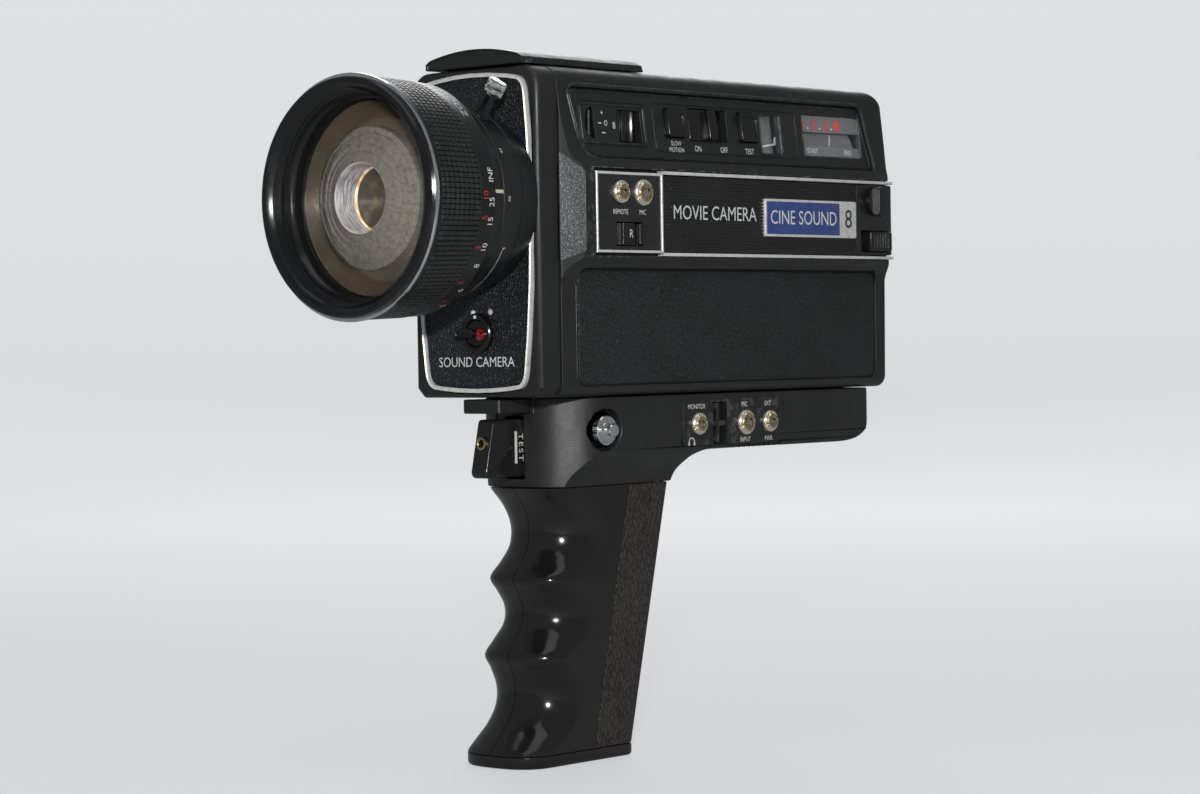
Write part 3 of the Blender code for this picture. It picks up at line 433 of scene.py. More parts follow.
class Look:
    """One Principled material with its node tree."""

    def __init__(self, name, colour, roughness, metallic=0, **numbers):
        material = bpy.data.materials.new(name)
        material.use_nodes = True
        self.tree = material.node_tree
        self.shader = self.tree.nodes["Principled BSDF"]
        self.set("Base Color", (*colour, 1))
        self.set("Roughness", roughness)
        self.set("Metallic", metallic)
        for socket, value in numbers.items():
            self.set(socket.replace("_", " "), value)
        self.colour = colour
        self.roughness = roughness
        self.height = None
        coords = self.node("ShaderNodeTexCoord")
        scale = self.node("ShaderNodeVectorMath", operation="SCALE")
        scale.inputs["Scale"].default_value = 1 / MM
        self.link(coords.outputs["Object"], scale.inputs[0])
        self.place = scale.outputs[0]  # millimetres
        LOOKS[name] = material

    def set(self, socket, value):
        self.shader.inputs[socket].default_value = value

    def node(self, kind, **values):
        node = self.tree.nodes.new(kind)
        for key, value in values.items():
            setattr(node, key, value)
        return node

    def link(self, source, target):
        self.tree.links.new(source, target)

    def stretched(self, x, y, z):
        scale = self.node("ShaderNodeVectorMath", operation="MULTIPLY")
        scale.inputs[1].default_value = (x, y, z)
        self.link(self.place, scale.inputs[0])
        return scale.outputs[0]

    def noise(self, per_mm, detail=3, rough=0.55, where=None, distortion=0):
        noise = self.node("ShaderNodeTexNoise")
        noise.inputs["Scale"].default_value = per_mm
        noise.inputs["Detail"].default_value = detail
        noise.inputs["Roughness"].default_value = rough
        noise.inputs["Distortion"].default_value = distortion
        self.link(where or self.place, noise.inputs["Vector"])
        return noise.outputs["Fac"]

    def cells(self, per_mm, feature="DISTANCE_TO_EDGE", where=None, randomness=1):
        cells = self.node("ShaderNodeTexVoronoi", feature=feature)
        cells.inputs["Scale"].default_value = per_mm
        cells.inputs["Randomness"].default_value = randomness
        self.link(where or self.place, cells.inputs["Vector"])
        return cells.outputs["Distance"]

    def spread(self, value, low, high, to_low=0, to_high=1, smooth=True):
        """The value mapped from one range to another, held at its ends."""
        spread = self.node("ShaderNodeMapRange")
        spread.interpolation_type = "SMOOTHSTEP" if smooth else "LINEAR"
        for socket, number in zip(("From Min", "From Max", "To Min", "To Max"),
            (low, high, to_low, to_high)):
            spread.inputs[socket].default_value = number
        self.link(value, spread.inputs["Value"])
        return spread.outputs["Result"]

    def math(self, operation, a, b):
        node = self.node("ShaderNodeMath", operation=operation)
        for socket, value in zip(node.inputs, (a, b)):
            if isinstance(value, (int, float)):
                socket.default_value = value
            else:
                self.link(value, socket)
        return node.outputs[0]

    def tint(self, share, other, base=None):
        """Mixes another colour into the base colour by a share."""
        mix = self.node("ShaderNodeMix", data_type="RGBA")
        self.link(share, mix.inputs["Factor"])
        source = base
        if source is None:
            linked = self.shader.inputs["Base Color"].links
            source = linked[0].from_socket if linked else None
        if source is None:
            mix.inputs["A"].default_value = (*self.colour, 1)
        else:
            self.link(source, mix.inputs["A"])
        mix.inputs["B"].default_value = (*other, 1)
        self.link(mix.outputs["Result"], self.shader.inputs["Base Color"])
        return self

    def mottled(self, per_mm, low, high, other, detail=3):
        """Soft patches of another colour."""
        return self.tint(self.spread(self.noise(per_mm, detail), low, high), other)

    def rough(self, value, low, high):
        self.link(self.spread(value, 0.3, 0.7, low, high, False), self.shader.inputs["Roughness"])
        return self

    def bump(self, height, depth):
        """Adds to the relief; depth is in millimetres."""
        bump = self.node("ShaderNodeBump")
        bump.inputs["Strength"].default_value = 1
        bump.inputs["Distance"].default_value = depth * MM
        self.link(height, bump.inputs["Height"])
        linked = self.shader.inputs["Normal"].links
        if linked:
            self.link(linked[0].from_socket, bump.inputs["Normal"])
        self.link(bump.outputs["Normal"], self.shader.inputs["Normal"])
        return self

    def worn(self, other, low=0.53, high=0.62, amount=1):
        """Paint rubbed off along convex edges."""
        shape = self.node("ShaderNodeNewGeometry")
        edge = self.spread(shape.outputs["Pointiness"], low, high)
        patches = self.spread(self.noise(0.35, 4, 0.7), 0.48, 0.62)
        share = self.math("MULTIPLY", self.math("MULTIPLY", edge, patches), amount)
        return self.tint(share, other)

    def dusty(self, colour=(0.30, 0.30, 0.30), amount=0.5, per_mm=1.6, cut=0.74):
        """Sparse specks of dust."""
        specks = self.spread(self.noise(per_mm, 2, 0.5), cut, cut + 0.05)
        return self.tint(self.math("MULTIPLY", specks, amount), colour)


def plastic(name, colour, roughness, grain=6, depth=0.02, spread=0.08, **numbers):
    """Moulded plastic with a fine spark-eroded texture and broad handling marks."""
    look = Look(name, colour, roughness, 0, **numbers)
    broad = look.noise(0.05, 4, 0.6)
    darker = tuple(c * 0.72 for c in colour)
    look.tint(look.spread(broad, 0.35, 0.7), darker)
    look.rough(look.noise(0.12, 5, 0.6), roughness - spread, roughness + spread)
    if depth > 0:
        look.bump(look.noise(grain, 2, 0.5), depth)
    return look


def leather(name, colour, crease_shade_colour, cells, depth, roughness, stretch=(1, 1, 1)):
    """Embossed grain: pebbles divided by creases, softened by noise; the creases are painted darker, as
    painted shade.
    """
    look = Look(name, colour, roughness, 0, Specular_IOR_Level=0.4)
    where = look.stretched(*stretch)
    warped = look.node("ShaderNodeVectorMath", operation="ADD")
    wobble = look.node("ShaderNodeTexNoise")
    wobble.inputs["Scale"].default_value = cells * 0.9
    wobble.inputs["Detail"].default_value = 2
    look.link(where, wobble.inputs["Vector"])
    look.link(where, warped.inputs[0])
    look.link(wobble.outputs["Color"], warped.inputs[1])
    edge = look.cells(cells, where=warped.outputs[0])
    pebble = look.spread(edge, 0, 0.28)
    # the crease mask darkens the creases towards the second colour: painted shade
    crease = look.spread(edge, 0, 0.14, 1, 0)
    look.tint(crease, crease_shade_colour)
    broad = look.spread(look.noise(0.06, 3), 0.3, 0.7)
    look.tint(look.math("MULTIPLY", broad, 0.35), tuple(c * 1.5 for c in colour))
    look.rough(look.noise(1.2, 3), roughness - 0.08, roughness + 0.1)
    look.bump(pebble, depth)
    look.bump(look.noise(cells * 4, 2), depth * 0.3)
    return look


def metal(name, colour, roughness, brushed=None, spots=0, **numbers):
    """Plated or turned metal with fine lines and a little tarnish."""
    look = Look(name, colour, roughness, 1, **numbers)
    where = look.stretched(*brushed) if brushed else None
    lines = look.noise(3, 4, 0.6, where)
    look.rough(lines, max(roughness - 0.06, 0.03), roughness + 0.12)
    look.tint(look.spread(look.noise(0.4, 4), 0.45, 0.75, 0, 0.5), tuple(c * 0.62 for c in colour))
    if spots > 0:
        stain = look.spread(look.noise(0.9, 4, 0.7), 0.56, 0.64)
        look.tint(look.math("MULTIPLY", stain, spots), tuple(c * 0.18 for c in colour))
    return look


def make_looks():
    casing = plastic("casing", (0.0150, 0.0152, 0.0156), 0.44, 4, 0.022)
    casing.dusty((0.16, 0.16, 0.16), 0.3, 1.1, 0.73).worn((0.15, 0.15, 0.15), 0.545, 0.64)
    plastic("satin", (0.014, 0.0145, 0.015), 0.42, 6, 0.010).worn((0.10, 0.10, 0.10), amount=0.6)
    plastic("bezel", (0.016, 0.016, 0.017), 0.36, 5, 0.010).worn((0.35, 0.35, 0.35), 0.54, 0.66, 0.8)
    rail = plastic("rail", (0.019, 0.019, 0.020), 0.40, 5, 0.008)
    rail.dusty((0.45, 0.45, 0.45), 0.8, 1.7, 0.715)
    chassis = plastic("chassis", (0.0140, 0.0142, 0.0144), 0.42, 2.6, 0.035)
    chassis.dusty((0.16, 0.16, 0.16), 0.3, 0.9, 0.72).worn((0.12, 0.12, 0.12), 0.56, 0.68, 0.35)
    gloss = Look("gloss", (0.0085, 0.0082, 0.0085), 0.12, Coat_Weight=0.12)
    gloss.set("Coat Roughness", 0.05)
    smudge = gloss.noise(0.09, 6, 0.65, distortion=0.6)
    gloss.rough(smudge, 0.07, 0.24).tint(gloss.spread(smudge, 0.5, 0.8, 0, 0.6), (0.016, 0.014, 0.013))
    plastic("trigger_black", (0.011, 0.011, 0.012), 0.20, 4, 0.004, 0.06).worn((0.30, 0.29, 0.27), 0.54,
        0.64)
    plastic("knob", (0.010, 0.010, 0.011), 0.22, 4, 0.003, 0.06)
    # near black for the bottoms of holes: painted shade
    Look("hole_shade", (0.003, 0.003, 0.003), 0.7)
    # the second colour given to each leather is the painted shade in its creases
    leather("front_leather", (0.0150, 0.0175, 0.0235), (0.0025, 0.003, 0.004), 0.80, 0.26, 0.42)
    leather("side_leather", (0.0175, 0.0180, 0.0190), (0.0050, 0.0052, 0.0056), 0.80, 0.16, 0.52)
    leather("pad_leather", (0.036, 0.032, 0.030), (0.0050, 0.0045, 0.0042), 0.72, 0.30, 0.55,
        (1.3, 1.3, 0.5))
    silver = metal("silver", (0.76, 0.76, 0.75), 0.34, (0.4, 0.1, 1), 0.3)
    silver.set("Metallic", 0.25)
    silver.dusty((0.10, 0.10, 0.10), 0.8, 1.3, 0.69)
    granular = Look("granular", (0.070, 0.072, 0.078), 0.5)
    grains = granular.noise(2.6, 2, 0.6)
    granular.tint(granular.spread(grains, 0.52, 0.68), (0.30, 0.30, 0.32))
    granular.tint(granular.spread(grains, 0.46, 0.36), (0.030, 0.030, 0.034))
    granular.bump(grains, 0.12)
    metal("chrome", (0.78, 0.78, 0.79), 0.07)
    metal("nickel", (0.80, 0.75, 0.64), 0.22, spots=0.2).set("Metallic", 0.75)
    metal("bush", (0.58, 0.47, 0.27), 0.25, spots=0.5)
    metal("steel", (0.42, 0.42, 0.43), 0.32, (1, 0.2, 1))
    metal("cell_jacket", (0.40, 0.36, 0.28), 0.34)
    metal("alloy", (0.30, 0.30, 0.31), 0.42)
    plastic("lens_black", (0.0075, 0.0078, 0.0085), 0.36, 6, 0.006, 0.06)
    plastic("lens_gloss", (0.0055, 0.0058, 0.0065), 0.20, 6, 0.002, 0.05)
    plastic("knurl", (0.0155, 0.0158, 0.0168), 0.36, 6, 0.006).worn((0.05, 0.05, 0.05), 0.52, 0.60)
    amber = Look("amber_wall", (0.060, 0.048, 0.034), 0.40)
    specks = amber.noise(2.4, 3, 0.75)
    amber.tint(amber.spread(specks, 0.55, 0.72), (0.30, 0.24, 0.15))
    amber.tint(amber.spread(amber.noise(0.10, 2), 0.45, 0.70, 0, 0.5), (0.026, 0.021, 0.015))
    # light grey seats with darker streaks: painted reflection of the inner glass
    iris = Look("seat_painted_reflection", (0.155, 0.150, 0.150), 0.26, 0.25)
    streak = iris.noise(0.9, 4, 0.6, iris.stretched(1, 0.3, 1))
    iris.tint(iris.spread(streak, 0.4, 0.7), (0.085, 0.078, 0.066))
    # bright lilac wall of the hole with darker bands: painted reflection, the crescent seen round the pupil
    crescent = Look("crescent_painted_reflection", (0.62, 0.64, 0.72), 0.22, 0.35)
    bands = crescent.noise(0.7, 3, 0.6, crescent.stretched(0.35, 3, 0.35))
    crescent.tint(crescent.spread(bands, 0.42, 0.62), (0.22, 0.21, 0.23))
    # dim brown pupil, mottled lighter: painted shade of the lens's depth, on an opaque disc
    pupil = Look("pupil", (0.036, 0.027, 0.016), 0.40)
    pupil.mottled(0.3, 0.45, 0.7, (0.100, 0.082, 0.054), 4)
    # bright orange rim of the pupil, mottled to cream: painted highlight
    rim = Look("pupil_rim_highlight", (0.62, 0.36, 0.14), 0.30)
    rim.mottled(0.5, 0.4, 0.6, (0.85, 0.74, 0.62))
    for name, colour in (("front_glass", (0.97, 0.93, 0.86)), ("inner_glass", (0.93, 0.91, 0.97))):
        glass = Look(name, colour, 0, 0, Transmission_Weight=1, IOR=1.5)
        glass.rough(glass.noise(0.2), 0, 0.02)
    window = Look("window", (0.95, 0.96, 0.97), 0.03, 0, Transmission_Weight=1, IOR=1.3)
    window.rough(window.noise(0.3, 5, 0.7), 0.01, 0.10)
    for name, colour in (
        ("paint_white", (0.72, 0.72, 0.70)),
        ("paint_cream", (0.78, 0.68, 0.44)),
        ("paint_red", (0.55, 0.045, 0.025)),
        ("paint_silver", (0.68, 0.69, 0.69)),
        ("paint_dark", (0.02, 0.02, 0.022)),
        ("paint_grey", (0.16, 0.16, 0.165)),
    ):
        paint = Look(name, colour, 0.5)
        paint.tint(paint.spread(paint.noise(2.4, 3), 0.54, 0.72, 0, 0.5),
            tuple(c * 0.35 for c in colour))
    blue = Look("enamel_blue", (0.030, 0.062, 0.230), 0.30, Coat_Weight=0.4)
    blue.mottled(0.3, 0.4, 0.7, (0.040, 0.075, 0.250))
    lamp = Look("lamp_red", (0.28, 0.012, 0.010), 0.15, Coat_Weight=0.6)
    lamp.mottled(0.5, 0.4, 0.7, (0.10, 0.004, 0.004))
    pink = Look("lens_pink", (0.42, 0.27, 0.33), 0.2, Coat_Weight=0.6)
    pink.mottled(0.6, 0.4, 0.7, (0.60, 0.50, 0.55))
    board = Look("board", (0.030, 0.12, 0.055), 0.35)
    tracks = board.cells(0.25, "DISTANCE_TO_EDGE", board.stretched(1, 1, 1.6))
    board.tint(board.spread(tracks, 0.04, 0.08, 0.7, 0), (0.16, 0.30, 0.12))
    rubber = plastic("rubber", (0.012, 0.012, 0.012), 0.75, 3, 0.03, 0.06, Specular_IOR_Level=0.35)
    rubber.dusty((0.10, 0.10, 0.10), 0.4)
    dial = Look("dial_card", (0.15, 0.153, 0.158), 0.55)
    dial.mottled(0.8, 0.4, 0.7, (0.115, 0.116, 0.122))


# ---------------------------------------------------------------- casings

TRAY = ((13.4, 34), (159.8, 34.2), (164.5, 12.9), (17.8, 12.7))  # corners as (y, z)
TRAY_CORNERS = (4, 3, 2.5, 9)
FRONT_FIELD = (18.1, 49, 16.6, 30.2)
KEY_FIELD = (52.7, 125, 15.4, 30.9)
MOON = (25.4, 23.5, 4.9)
WHEEL_WINDOW = (36, 46.8, 17.8, 27.9)
SLOW_WINDOW = (58.3, 67.6, 20.2, 29.5)
POWER_WINDOW = (70, 88.9, 19.6, 30)
TEST_WINDOW = (94.5, 104.2, 20, 29.7)
METER_WINDOW = (106.3, 116.7, 16.9, 29.8)
COUNTER_WINDOW = (128.6, 159.5, 16.9, 30.6)
PANEL_WINDOWS = (WHEEL_WINDOW, SLOW_WINDOW, POWER_WINDOW, TEST_WINDOW, METER_WINDOW, COUNTER_WINDOW)

LEATHER_FIELD = (16.2, 166.2, -55.9, -21)
MODE_WINDOW = (30, 42.5, -13.9, -6.6)
LEVEL_WINDOW = (154.3, 169.5, -14.4, -7.3)
REMOTE_JACK = (31.8, 2.5)
MIC_JACK = (42.1, 2.5)
SOUND_KNOB = (160.8, 2.5)
MONITOR_JACK = (74.6, -69.2)
INPUT_JACK = (98.2, -69.4)
POWER_JACK = (110.6, -69.4)
PLUG_SLOT = (82, 89.4, -76, -62.6)
LOCK_BUTTON = (31.4, -69.9)
TRIPOD = (0, 12)
COUNTER_AXIS = (144, 12)
FILTER = (0.9, -39.8)
FINDER = (-11, 28.5)
DOOR = (42, 150, -53, 24)
DOOR_HINGE = (-28.9, 43.7)
LATCH = (156.5, 2)
RELEASE = (0, -73.2)


def control_section():
    return ([(SEAM, -59.5)] + arc((22.7, -55.5), 4, -90, 0, 6) + [(SIDE, -27), (27, -23.8),
        (27.8, -21.4), (29, -19.6), (30.3, -18.4), (30.9, -17.6)] + [(30.9, 10.2), (30.2, 11),
        (29.4, 12), (28.8, 13.4), (28.35, 15.3), (26.15, 32.8)] + arc((19.5, 33.8), 6.5, 8, 90,
        8) + [(SEAM, 40.3)])


def film_section():
    lower = [(-SEAM, -59.5)] + arc((-22.7, -55.5), 4, 270, 180, 6)
    flank = [(-SIDE, -36), (-28.5, -20), (-28.5, 12), (-26.15, 32.8)]
    return lower + flank + arc((-19.5, 33.8), 6.5, 172, 90, 8) + [(-SEAM, 40.3)]


def inner_section(sign):
    outline = [(-2, 38.3), (18.5, 38.3), (22.4, 33.8), (24.6, 13), (26, 10), (26, -17.5)]
    outline += [(24.6, -23), (24.6, -54.5), (22, -57.5), (-2, -57.5)]
    return [(sign * x, z) for x, z in outline]


def rear_plan(sign):
    """Plan of one casing with its rear corner rounded."""
    outline = [(-5, -5), (31, -5)] + arc((26.6, 167.6), 4.4, 0, 90, 8) + [(-5, 172)]
    return [(sign * x, y) for x, y in outline]


def rear_side():
    """Side outline with the upper rear corner rounded."""
    return [(0, -70), (172, -70)] + arc((166, 34.35), 6, 0, 90, 8) + [(0, 40.35)]


def rear_keeps(sign):
    return (slab(rear_plan(sign), along_z, -80, 80), slab(rear_side(), along_x, -60, 60))


def window_cutter(window, radius=0.8, grow=0):
    front, rear, low, high = window
    outline = rectangle(front - grow, rear + grow, low - grow, high + grow, radius)
    return slab(outline, on_panel, -9, 9)


def side_cutter(window, grow=0, radius=0):
    front, rear, low, high = window
    outline = rectangle(front - grow, rear + grow, low - grow, high + grow, radius)
    return slab(outline, along_x, 20, 40)


def left_shell():
    nose = [(SIDE, 8.4), (SIDE, 0), (50, 0), (50, 44.7)]
    cuts = [slab(inner_section(1), along_y, 5, 169.8), slab(nose, along_z, -70, 30),
        slab(rounded(TRAY, TRAY_CORNERS, 8), on_panel, -1.75, 10),
        slab(rectangle(19.9, 180, -16.9, 9.6), along_x, 28.2, 40),
        slab(rectangle(15.8, 166.6, -56.3, -20.6, 3.4), along_x, SIDE - 0.7, 40),
        side_cutter(MODE_WINDOW), side_cutter(LEVEL_WINDOW)]
    cuts += [window_cutter(window, 1, 0.3) for window in PANEL_WINDOWS]
    cuts += [rod(3.3, along_x, centre, 20, 40) for centre in (REMOTE_JACK, MIC_JACK, SOUND_KNOB)]
    cuts.append(rod(MOON[2] + 0.3, along_x, MOON[:2], 20, 40))
    piece("left_shell", slab(control_section(), along_y, 8.9, 172), "casing", node="left_casing",
        keeps=rear_keeps(1), cuts=cuts, bevel=0.22)


def right_shell():
    y, z = LATCH
    cuts = [slab(inner_section(-1), along_y, 5, 169.8),
        slab(rectangle(*DOOR, 2.5), along_x, -40, -20), rod(7.3, along_y, FINDER, 160, 180, 40),
        block((-35, y - 1.7, z - 1.6), (-20, y + 5.6, z + 1.6))]
    piece("right_shell", slab(film_section(), along_y, 8.9, 172), "casing", node="right_casing",
        keeps=rear_keeps(-1), cuts=cuts, bevel=0.35)


def rear_details():
    """Sunk screws and the moulded field round the eyepiece on the rear wall."""
    for x, z in ((22, 30), (22, -50), (-22.5, -50), (-22.5, 12)):
        head = rod(2.3, along_y, (x, z), 171.4, 172.5, 24, 0.5)
        slots = (block((x - 1.5, 172, z - 0.25), (x + 1.5, 173, z + 0.25)),
            block((x - 0.25, 172, z - 1.5), (x + 0.25, 173, z + 1.5)))
        piece(f"rear_screw_{x:.0f}_{z:.0f}", head, "steel", cuts=slots)
    field = rectangle(-22, 22, -40, 14, 3)
    piece("rear_leather", slab(field, along_y, 171.6, 172.35, 0.25), "side_leather")
    piece("rear_field_rim", frame_of(inset(field, -1), 0.9, along_y, 171.6, 172.5, 0.2), "bezel")


def side_leather():
    front, rear, low, high = LEATHER_FIELD
    outline = rectangle(front + 0.2, rear - 0.2, low, high - 0.1, 3)
    piece("side_grain", slab(outline, along_x, SIDE - 0.75, SIDE + 0.08, 0.4), "side_leather",
        node="leather_panel")
    rim = frame_of(rectangle(front - 0.9, rear + 0.9, low - 0.9, high + 0.9, 4), 0.45, along_x,
                   SIDE - 0.4, SIDE + 0.16, 0.1)
    piece("side_rim", rim, "casing")


def film_door():
    front, rear, low, high = DOOR
    gap = 0.3
    skin = [(-26.9, high), (-28.5, 12), (-28.5, -20), (-SIDE, -36), (-SIDE, low)]
    lining = [(x + 2.2, z) for x, z in reversed(skin)]
    outline = rectangle(front + gap, rear - gap, low + gap, high - gap, 2.2)
    piece("film_cover", slab(skin + lining, along_y, front + gap, rear - gap), "casing", body="door",
        node="film_door", keeps=(slab(outline, along_x, -40, -20),),
        adds=(rod(1.3, along_z, DOOR_HINGE, -16, 8, 24),), bevel=0.3)
    field = rectangle(front + 8, rear - 6, -18.5, 10.5, 2.5)
    piece("film_cover_grain", slab(field, along_x, -28.3, -28.8, 0.2), "side_leather", body="door")
    rim = frame_of(inset(field, -0.9), 0.8, along_x, -28.3, -28.9, 0.15)
    piece("film_cover_rim", rim, "bezel", body="door")
    y, z = LATCH
    ridges = [block((-31.7, y - 2.4 + k * 1.6, z - 4.8),
        (-30.9, y - 1.6 + k * 1.6, z + 4.8)) for k in range(4)]
    piece("latch_key", block((-31.2, y - 3.5, z - 6), (-28.8, y + 3.5, z + 6)), "satin", body="latch",
        node="door_latch", adds=(block((-30, y - 1.3, z - 1.3), (-24.2, y + 1.3, z + 1.3)),
        block((-25.7, y - 8.5, z - 1.3), (-24.2, y + 1, z + 1.3)), *ridges), bevel=0.3)


# ---------------------------------------------------------------- control wall


def control_wall():
    tray = rounded(TRAY, TRAY_CORNERS, 8)
    plate = inset(tray, 0.35)
    grooves = []
    for front, rear, low, high in (FRONT_FIELD, KEY_FIELD):
        grooves.append(frame_of(rectangle(front, rear, low, high, 1.6), 0.5, on_panel, -1.15, 2))
    moon = arc(MOON[:2], MOON[2], 90, 270, 16)
    piece("control_plate", slab(plate, on_panel, -1.70, -0.80, 0.15), "satin", node="control_panel",
        cuts=[window_cutter(window) for window in PANEL_WINDOWS] + [slab(moon, on_panel, -9,
        9)] + grooves, bevel=0.12)
    rim = frame_of(inset(tray, -1.15), 0.95, on_panel, -0.6, 0.42, 0.22)
    piece("tray_rim", rim, "bezel")
    inner = frame_of(inset(tray, 0.7), 0.5, on_panel, -0.9, -0.45, 0.15)
    piece("tray_inner_rim", inner, "bezel")
    lip = frame_of(rectangle(18.7, 48.4, 17.2, 29.6, 1.4), 0.7, on_panel, -0.85, -0.30, 0.15)
    piece("dial_field_rim", lip, "satin")


def key_cap(name, window, body, node):
    """Square push button with a dished face and a raised border."""
    front, rear, low, high = window
    gap = 0.3
    outline = rectangle(front + gap, rear - gap, low + gap, high - gap, 0.9)
    dish = rectangle(front + 1.7, rear - 1.7, low + 1.7, high - 1.7, 0.7)
    piece(name, slab(outline, on_panel, -4.2, 0.75, 0.35), "knob", body=body, node=node,
        cuts=(slab(dish, on_panel, 0.35, 3),), bevel=0.12)


def panel_controls():
    key_cap("slow_motion_cap", SLOW_WINDOW, "slow_motion_key", "slow_motion_button")
    key_cap("test_cap", TEST_WINDOW, "test_key", "test_button")
    front, rear, low, high = POWER_WINDOW
    slider = slab(rectangle(front + 0.3, front + 12.4, low + 0.3, high - 0.3, 0.6), on_panel, -4, -0.9,
        0.2)
    ridge = slab(rectangle(front + 8.2, front + 12, low + 0.5, high - 0.5, 0.8), on_panel, -2, 0.95, 0.4)
    ribs = [slab(rectangle(front + 1.2 + k * 1.5, front + 1.8 + k * 1.5, low + 1.2, high - 1.2), on_panel,
        -1.4, -0.75) for k in range(4)]
    piece("power_key", slider, "knob", body="power_slider", node="power_switch",
          adds=(ridge, *ribs), bevel=0.12)
    piece("power_well", slab(rectangle(front - 0.5, rear + 0.5, low - 0.5, high + 0.5), on_panel, -5.2,
        -4.6), "satin")

    wheel = (20.6, 40)
    teeth = ((0, 6.55), (0.2, 6.65), (0.4, 6.55), (0.52, 5.75), (0.88, 5.75))
    outline = toothed(wheel, 16, teeth)
    piece("wheel_rim", slab(outline, along_z, 18.15, 27.55, 0.25, 0.25), "knob", body="aperture_disc",
          node="aperture_wheel", bevel=0.06, crease=20)
    dial = turned(((0, 22.4), (5.5, 22.4), (5.5, 23.6), (5.1, 24), (0, 24)), along_x, MOON[:2], 40)
    piece("exposure_plate", dial, "knob", body="exposure_disc", node="exposure_dial",
          cuts=(block((23.7, 25, 18), (25, 25.8, 29)),))


def panel_glass():
    for name, (front, rear, low, high) in (("meter_glass", METER_WINDOW), ("counter_glass", COUNTER_WINDOW)):
        outline = rectangle(front + 0.15, rear - 0.15, low + 0.15, high - 0.15, 0.7)
        glass = piece(name, slab(outline, on_panel, -1.5, -0.95, 0.12), "window")
        glass.visible_shadow = False
        rim = frame_of(rectangle(front - 0.55, rear + 0.55, low - 0.55, high + 0.55, 1.3), 0.5, on_panel,
                       -0.85, -0.62, 0.1)
        piece(f"{name}_rim", rim, "bezel")
    piece("meter_card", slab(rectangle(105.8, 117.2, 16.4, 30.3), on_panel, -5.9, -5.3), "dial_card")
    hub = rod(1.6, along_x, (120.5, 22), 21.5, 23, 20, 0.2)
    arm = tilted(block((22.2, 106.9, 20.85), (22.6, 120, 21.35)), 9, "X", (22.4, 120.5, 21.1))
    piece("meter_hand", hub, "paint_white", body="meter", node="meter_needle", adds=(arm,))
    disc = turned(((0, 22.2), (18.4, 22.2), (18.4, 22.8), (18.2, 23), (0, 23)), along_x,
        COUNTER_AXIS, 96)
    piece("counter_disc", disc, "dial_card", body="counter", node="counter_dial")
    piece("counter_back", slab(rectangle(127.6, 160.4, 16, 31.4), on_panel, -7.4, -6.9), "dial_card")
    piece("counter_card", slab(rectangle(128, 160, 16.4, 20.6), on_panel, -2.6, -2.1, 0.1), "dial_card")
    piece("counter_scale", slab(rectangle(128, 160, 25.2, 31.2), on_panel, -2.6, -2.1, 0.1), "dial_card")


# ---------------------------------------------------------------- band


def on_nose(a, b, height):
    """a runs along the slanted front of the band, b up and height out of it."""
    return Vector((26.75 + 0.541 * a + 0.841 * height, 8.45 + 0.841 * a - 0.541 * height, b))


def band():
    facet = rounded([(0.2, -18.6), (8.1, -15.8), (8.1, 8.8), (0.2, 14.2)], 0.7, 4)
    piece("nose_facet", slab(facet, on_nose, -0.5, 0.28, 0.2), "granular", node="band_nose")
    piece("band_cap", slab(rectangle(15.4, 20.3, -16, 8.6, 0.8), along_x, 28.3, 31.25, 0.5), "satin")

    holes = [rod(3.6, along_x, centre, 20, 40) for centre in (REMOTE_JACK, MIC_JACK)]
    plate = slab(rectangle(21.4, 50.6, -15.1, 7.7), along_x, 28.3, 30.75)
    piece("socket_plate", plate, "rail", cuts=[side_cutter(MODE_WINDOW), *holes], bevel=0.15)

    comb = [(28.3, -15.5), (28.3, 8.1)]
    ribs = 22
    pitch = 23.2 / ribs
    for k in range(ribs):
        top = 7.9 - k * pitch
        comb += [(30.30, top), (30.72, top - 0.12), (30.72, top - 0.5), (30.30, top - 0.62)]
    comb.append((30.3, -15.5))
    piece("ribbed_rail", slab(comb, along_y, 52.1, 151.6), "rail", node="band_panel", crease=20)
    piece("rail_end", slab(rectangle(151.8, 171.2, -15.4, 8, 0.6), along_x, 28.3, 30.6), "rail",
          cuts=(side_cutter(LEVEL_WINDOW), rod(3.3, along_x, SOUND_KNOB, 20, 40)), bevel=0.2)

    lines = [frame_of(rectangle(20.5, 51.5, -15.95, 8.55), 0.8, along_x, 28.6, 31.2, 0.15)]
    for low, high in ((8.3, 9.3), (-16.8, -15.8)):
        slant = 0.9 if low > 0 else -0.9
        outline = [(51.5 + max(slant, 0), low), (171.4, low), (171.4, high),
            (51.5 - min(slant, 0), high)]
        lines.append(slab(outline, along_x, 28.6, 31.2, 0.15))
    piece("band_lines", joined(*lines), "silver", node="band_trim")


def badge():
    piece("badge_plate", slab(rectangle(101.9, 150.6, -10, 2.1, 0.7), along_x, 30.2, 31.3, 0.2), "silver")
    piece("badge_field", slab(rectangle(102.7, 141.3, -9.2, 1.3, 0.4), along_x, 31, 31.42, 0.08),
        "enamel_blue")


